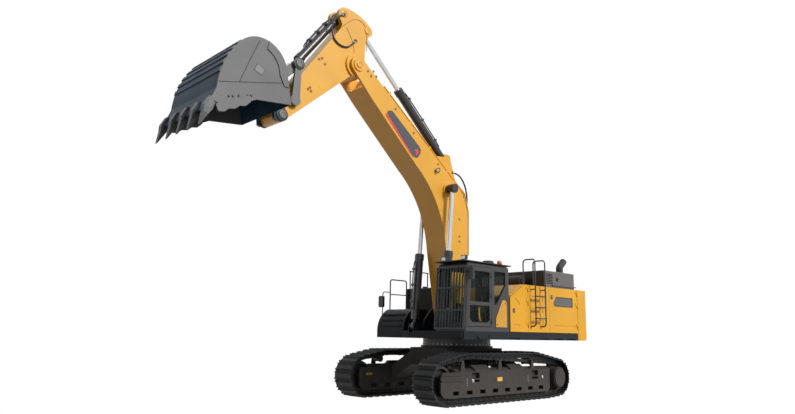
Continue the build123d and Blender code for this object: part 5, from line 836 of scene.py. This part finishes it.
def hose(name, corners, diameter, body, wall):
    """A free hose between two fittings: a smooth spline of round section, its corners all at one Y.
    Each end sits in a hexagonal collar on a pad that reaches back to the plate at Y wall."""
    points = at(corners)
    line = bpy.data.curves.new(name, "CURVE")
    line.dimensions = "3D"
    line.bevel_depth = diameter / 2
    line.bevel_resolution = 3
    line.resolution_u = 12
    spline = line.splines.new("NURBS")
    spline.points.add(len(points) - 1)
    for control, point in zip(spline.points, points):
        control.co = (*point, 1.0)
    spline.order_u = 3
    spline.use_endpoint_u = True
    line.materials.append(hose_black)
    made = bpy.data.objects.new(name, line)
    bpy.context.scene.collection.objects.link(made)
    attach(made, body)
    for word, end, inner in (("start", points[0], points[1]), ("end", points[-1], points[-2])):
        leaving = (inner - end) / np.linalg.norm(inner - end)
        half = diameter * 0.75
        turned(f"{name}_{word}_collar", ((half, -half), (half, 0.6 * half), (0.8 * half, half)),
                           [end], leaving, body, bolt_zinc, sides=6)
        middle = end - 1.6 * half * leaving
        corner = np.array([(-half, 0.0, -half), (half, 0.0, -half), (half, 0.0, half), (-half, 0.0, half)])
        foot = middle + corner
        foot[:, 1] = wall - SIDE_SHIFT
        plates(f"{name}_{word}_pad", foot, (0.0, corners[0][1] + half - wall, 0.0), body,
                           hose_black, bevel=0.004)


SIDE_SHIFT = -at([(0.0, 0.0, 0.0)])[0][1]
# One hose loops down across the arm's root; another bows out behind the boom.
ARM_LOOP = ((4.720, 0.262, 9.660), (4.880, 0.262, 9.570), (5.010, 0.262, 9.380), (5.060, 0.262, 9.150),
            (4.990, 0.262, 8.940), (4.820, 0.262, 8.820), (4.600, 0.262, 8.810), (4.420, 0.262, 8.910),
            (4.300, 0.262, 9.060))
BACK_BOW = ((0.360, 0.170, 6.330), (0.200, 0.170, 6.345), (0.000, 0.170, 6.260), (-0.160, 0.170, 6.080),
            (-0.255, 0.170, 5.840), (-0.275, 0.170, 5.560), (-0.230, 0.170, 5.300), (-0.150, 0.170, 5.080),
            (-0.105, 0.170, 4.900))
hose("arm_loop_hose", ARM_LOOP, 0.042, "arm", ARM_SIDE)
hose("boom_back_hose", BACK_BOW, 0.048, "boom", 0.120)

# ---- Bucket and its linkage ----
# Rolled shell between profiled side plates, with cast adapters and forged teeth; all but the tips is painted
# grey.
# The shell's darker slate blue is painted shade and, beside the paint's own tint, a painted sky reflection.
# Seams, a blank plate and the side cutters' bolts lie on the side plates.
bucket_grey = weathered("bucket_grey", (0.232, 0.229, 0.229), (0.12, 0.115, 0.11), tone=0.14, chips=0.3,
                        soil=0.0, grain=42.0, rough=0.46, gloss=0.45, bump=0.15, bump_depth=0.003)
link_grey = weathered("link_grey", (0.16, 0.158, 0.156), (0.10, 0.10, 0.10), tone=0.14, chips=0.3, soil=0.0,
                      grain=42.0, rough=0.45, bump=0.15)
tooth_steel = weathered("tooth_steel", (0.070, 0.070, 0.073), (0.22, 0.22, 0.22), tone=0.2, chips=0.5,
                        soil=0.0, grain=36.0, rough=0.42, metal=0.5, bump=0.35, bump_depth=0.004)
bucket_low, bucket_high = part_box("bucket")
bucket_middle = (bucket_low[1] + bucket_high[1]) / 2
BUCKET_SIDE = 1.025         # outer face of the bucket's side plates


def bucket_shell_painted_shade():
    """Grey side plates, and between them a darker, bluer shell in broad soft bands: painted shade, its blue
    partly the paint's own tint and partly a painted sky reflection.
    """
    material, tree, skin, surface = copied(bucket_grey, "bucket_shell_painted_shade")
    place = wire(tree, "ShaderNodeTexCoord").outputs["Object"]
    across = wire(tree, "ShaderNodeSeparateXYZ", {0: place}).outputs[1]
    off_middle = wire(tree, "ShaderNodeMath", {0: across, 1: bucket_middle}, operation="SUBTRACT").outputs[0]
    reach = wire(tree, "ShaderNodeMath", {0: off_middle}, operation="ABSOLUTE").outputs[0]
    shell_shade_mask = stretch(tree, reach, BUCKET_SIDE - 0.042, BUCKET_SIDE - 0.036, 1.0, 0.0)
    # These two dark blue tones are painted shade and painted sky reflection over the shell's own tint.
    slate = blended(tree, stretch(tree, cloud(tree, place, 1.6, 3.0), 0.35, 0.65), (0.018, 0.042, 0.076, 1),
                    (0.038, 0.072, 0.122, 1))
    tree.links.new(blended(tree, shell_shade_mask, surface.outputs["Colour"], slate), skin.inputs["Base Color"])
    skin.inputs["Specular IOR Level"].default_value = 0.12
    return material


dress(bucket_shell_painted_shade(), "bucket")
dress(link_grey, "rocker", "bucket_link")
dress(tooth_steel, "tooth_adapters", "bucket_teeth")

seam_dark = weathered("seam_dark", (0.045, 0.045, 0.046), (0.1, 0.1, 0.1), tone=0.1, chips=0.1, soil=0.0,
                      grain=80.0, rough=0.6, bump=0.2)
SEAMS = (("radial", ((7.518, 7.740), (7.720, 7.255), (7.934, 6.690))),
         ("front", ((8.380, 6.573), (8.160, 6.630), (7.934, 6.690))),
         ("rear", ((7.934, 6.690), (7.400, 6.830), (6.900, 6.965))))
for side, word in ((1, "left"), (-1, "right")):
    for label, line in SEAMS:
        rod(f"bucket_{label}_seam_{word}", upright(line, side * (BUCKET_SIDE - 0.001)), 0.010,
            (0.0, 1.0, 0.0), "bucket", seam_dark, sides=6)
# The blank diamond is a bare plate tacked on by its edge.
DIAMOND = ((7.549, 7.217), (7.350, 7.119), (7.427, 6.967), (7.624, 7.060))
diamond = np.array(DIAMOND)
inner_diamond = diamond.mean(axis=0) + 0.88 * (diamond - diamond.mean(axis=0))
plates("diamond_edge", upright(diamond, BUCKET_SIDE), (0.0, 0.003, 0.0), "bucket", seam_dark)
plates("diamond_plate", upright(inner_diamond, BUCKET_SIDE + 0.003), (0.0, 0.004, 0.0), "bucket", bucket_grey,
       bevel=0.002)
BUCKET_BOSS = 0.383         # outer faces of the bucket's ears and of the rocker
ROCKER_SIDE = 0.353
CUTTER_BOLTS = ((8.150, 6.330), (8.060, 6.352), (7.930, 6.392), (7.730, 6.455), (7.640, 6.480))
for side, word in ((1, "left"), (-1, "right")):
    turned(f"cutter_bolts_{word}", ((0.026, 0.0), (0.026, 0.016), (0.018, 0.022)),
           upright(CUTTER_BOLTS, side * BUCKET_SIDE), (0.0, side, 0.0), "bucket", tooth_steel,
           sides=6)
    pin_cap(f"bucket_pin_cap_{word}", 6.45, 6.52, BUCKET_BOSS, side, "bucket", link_grey,
            seal=True)
    pin_cap(f"knee_pin_cap_{word}", 6.04, 7.89, ROCKER_SIDE, side, "rocker", link_grey,
            seal=True)
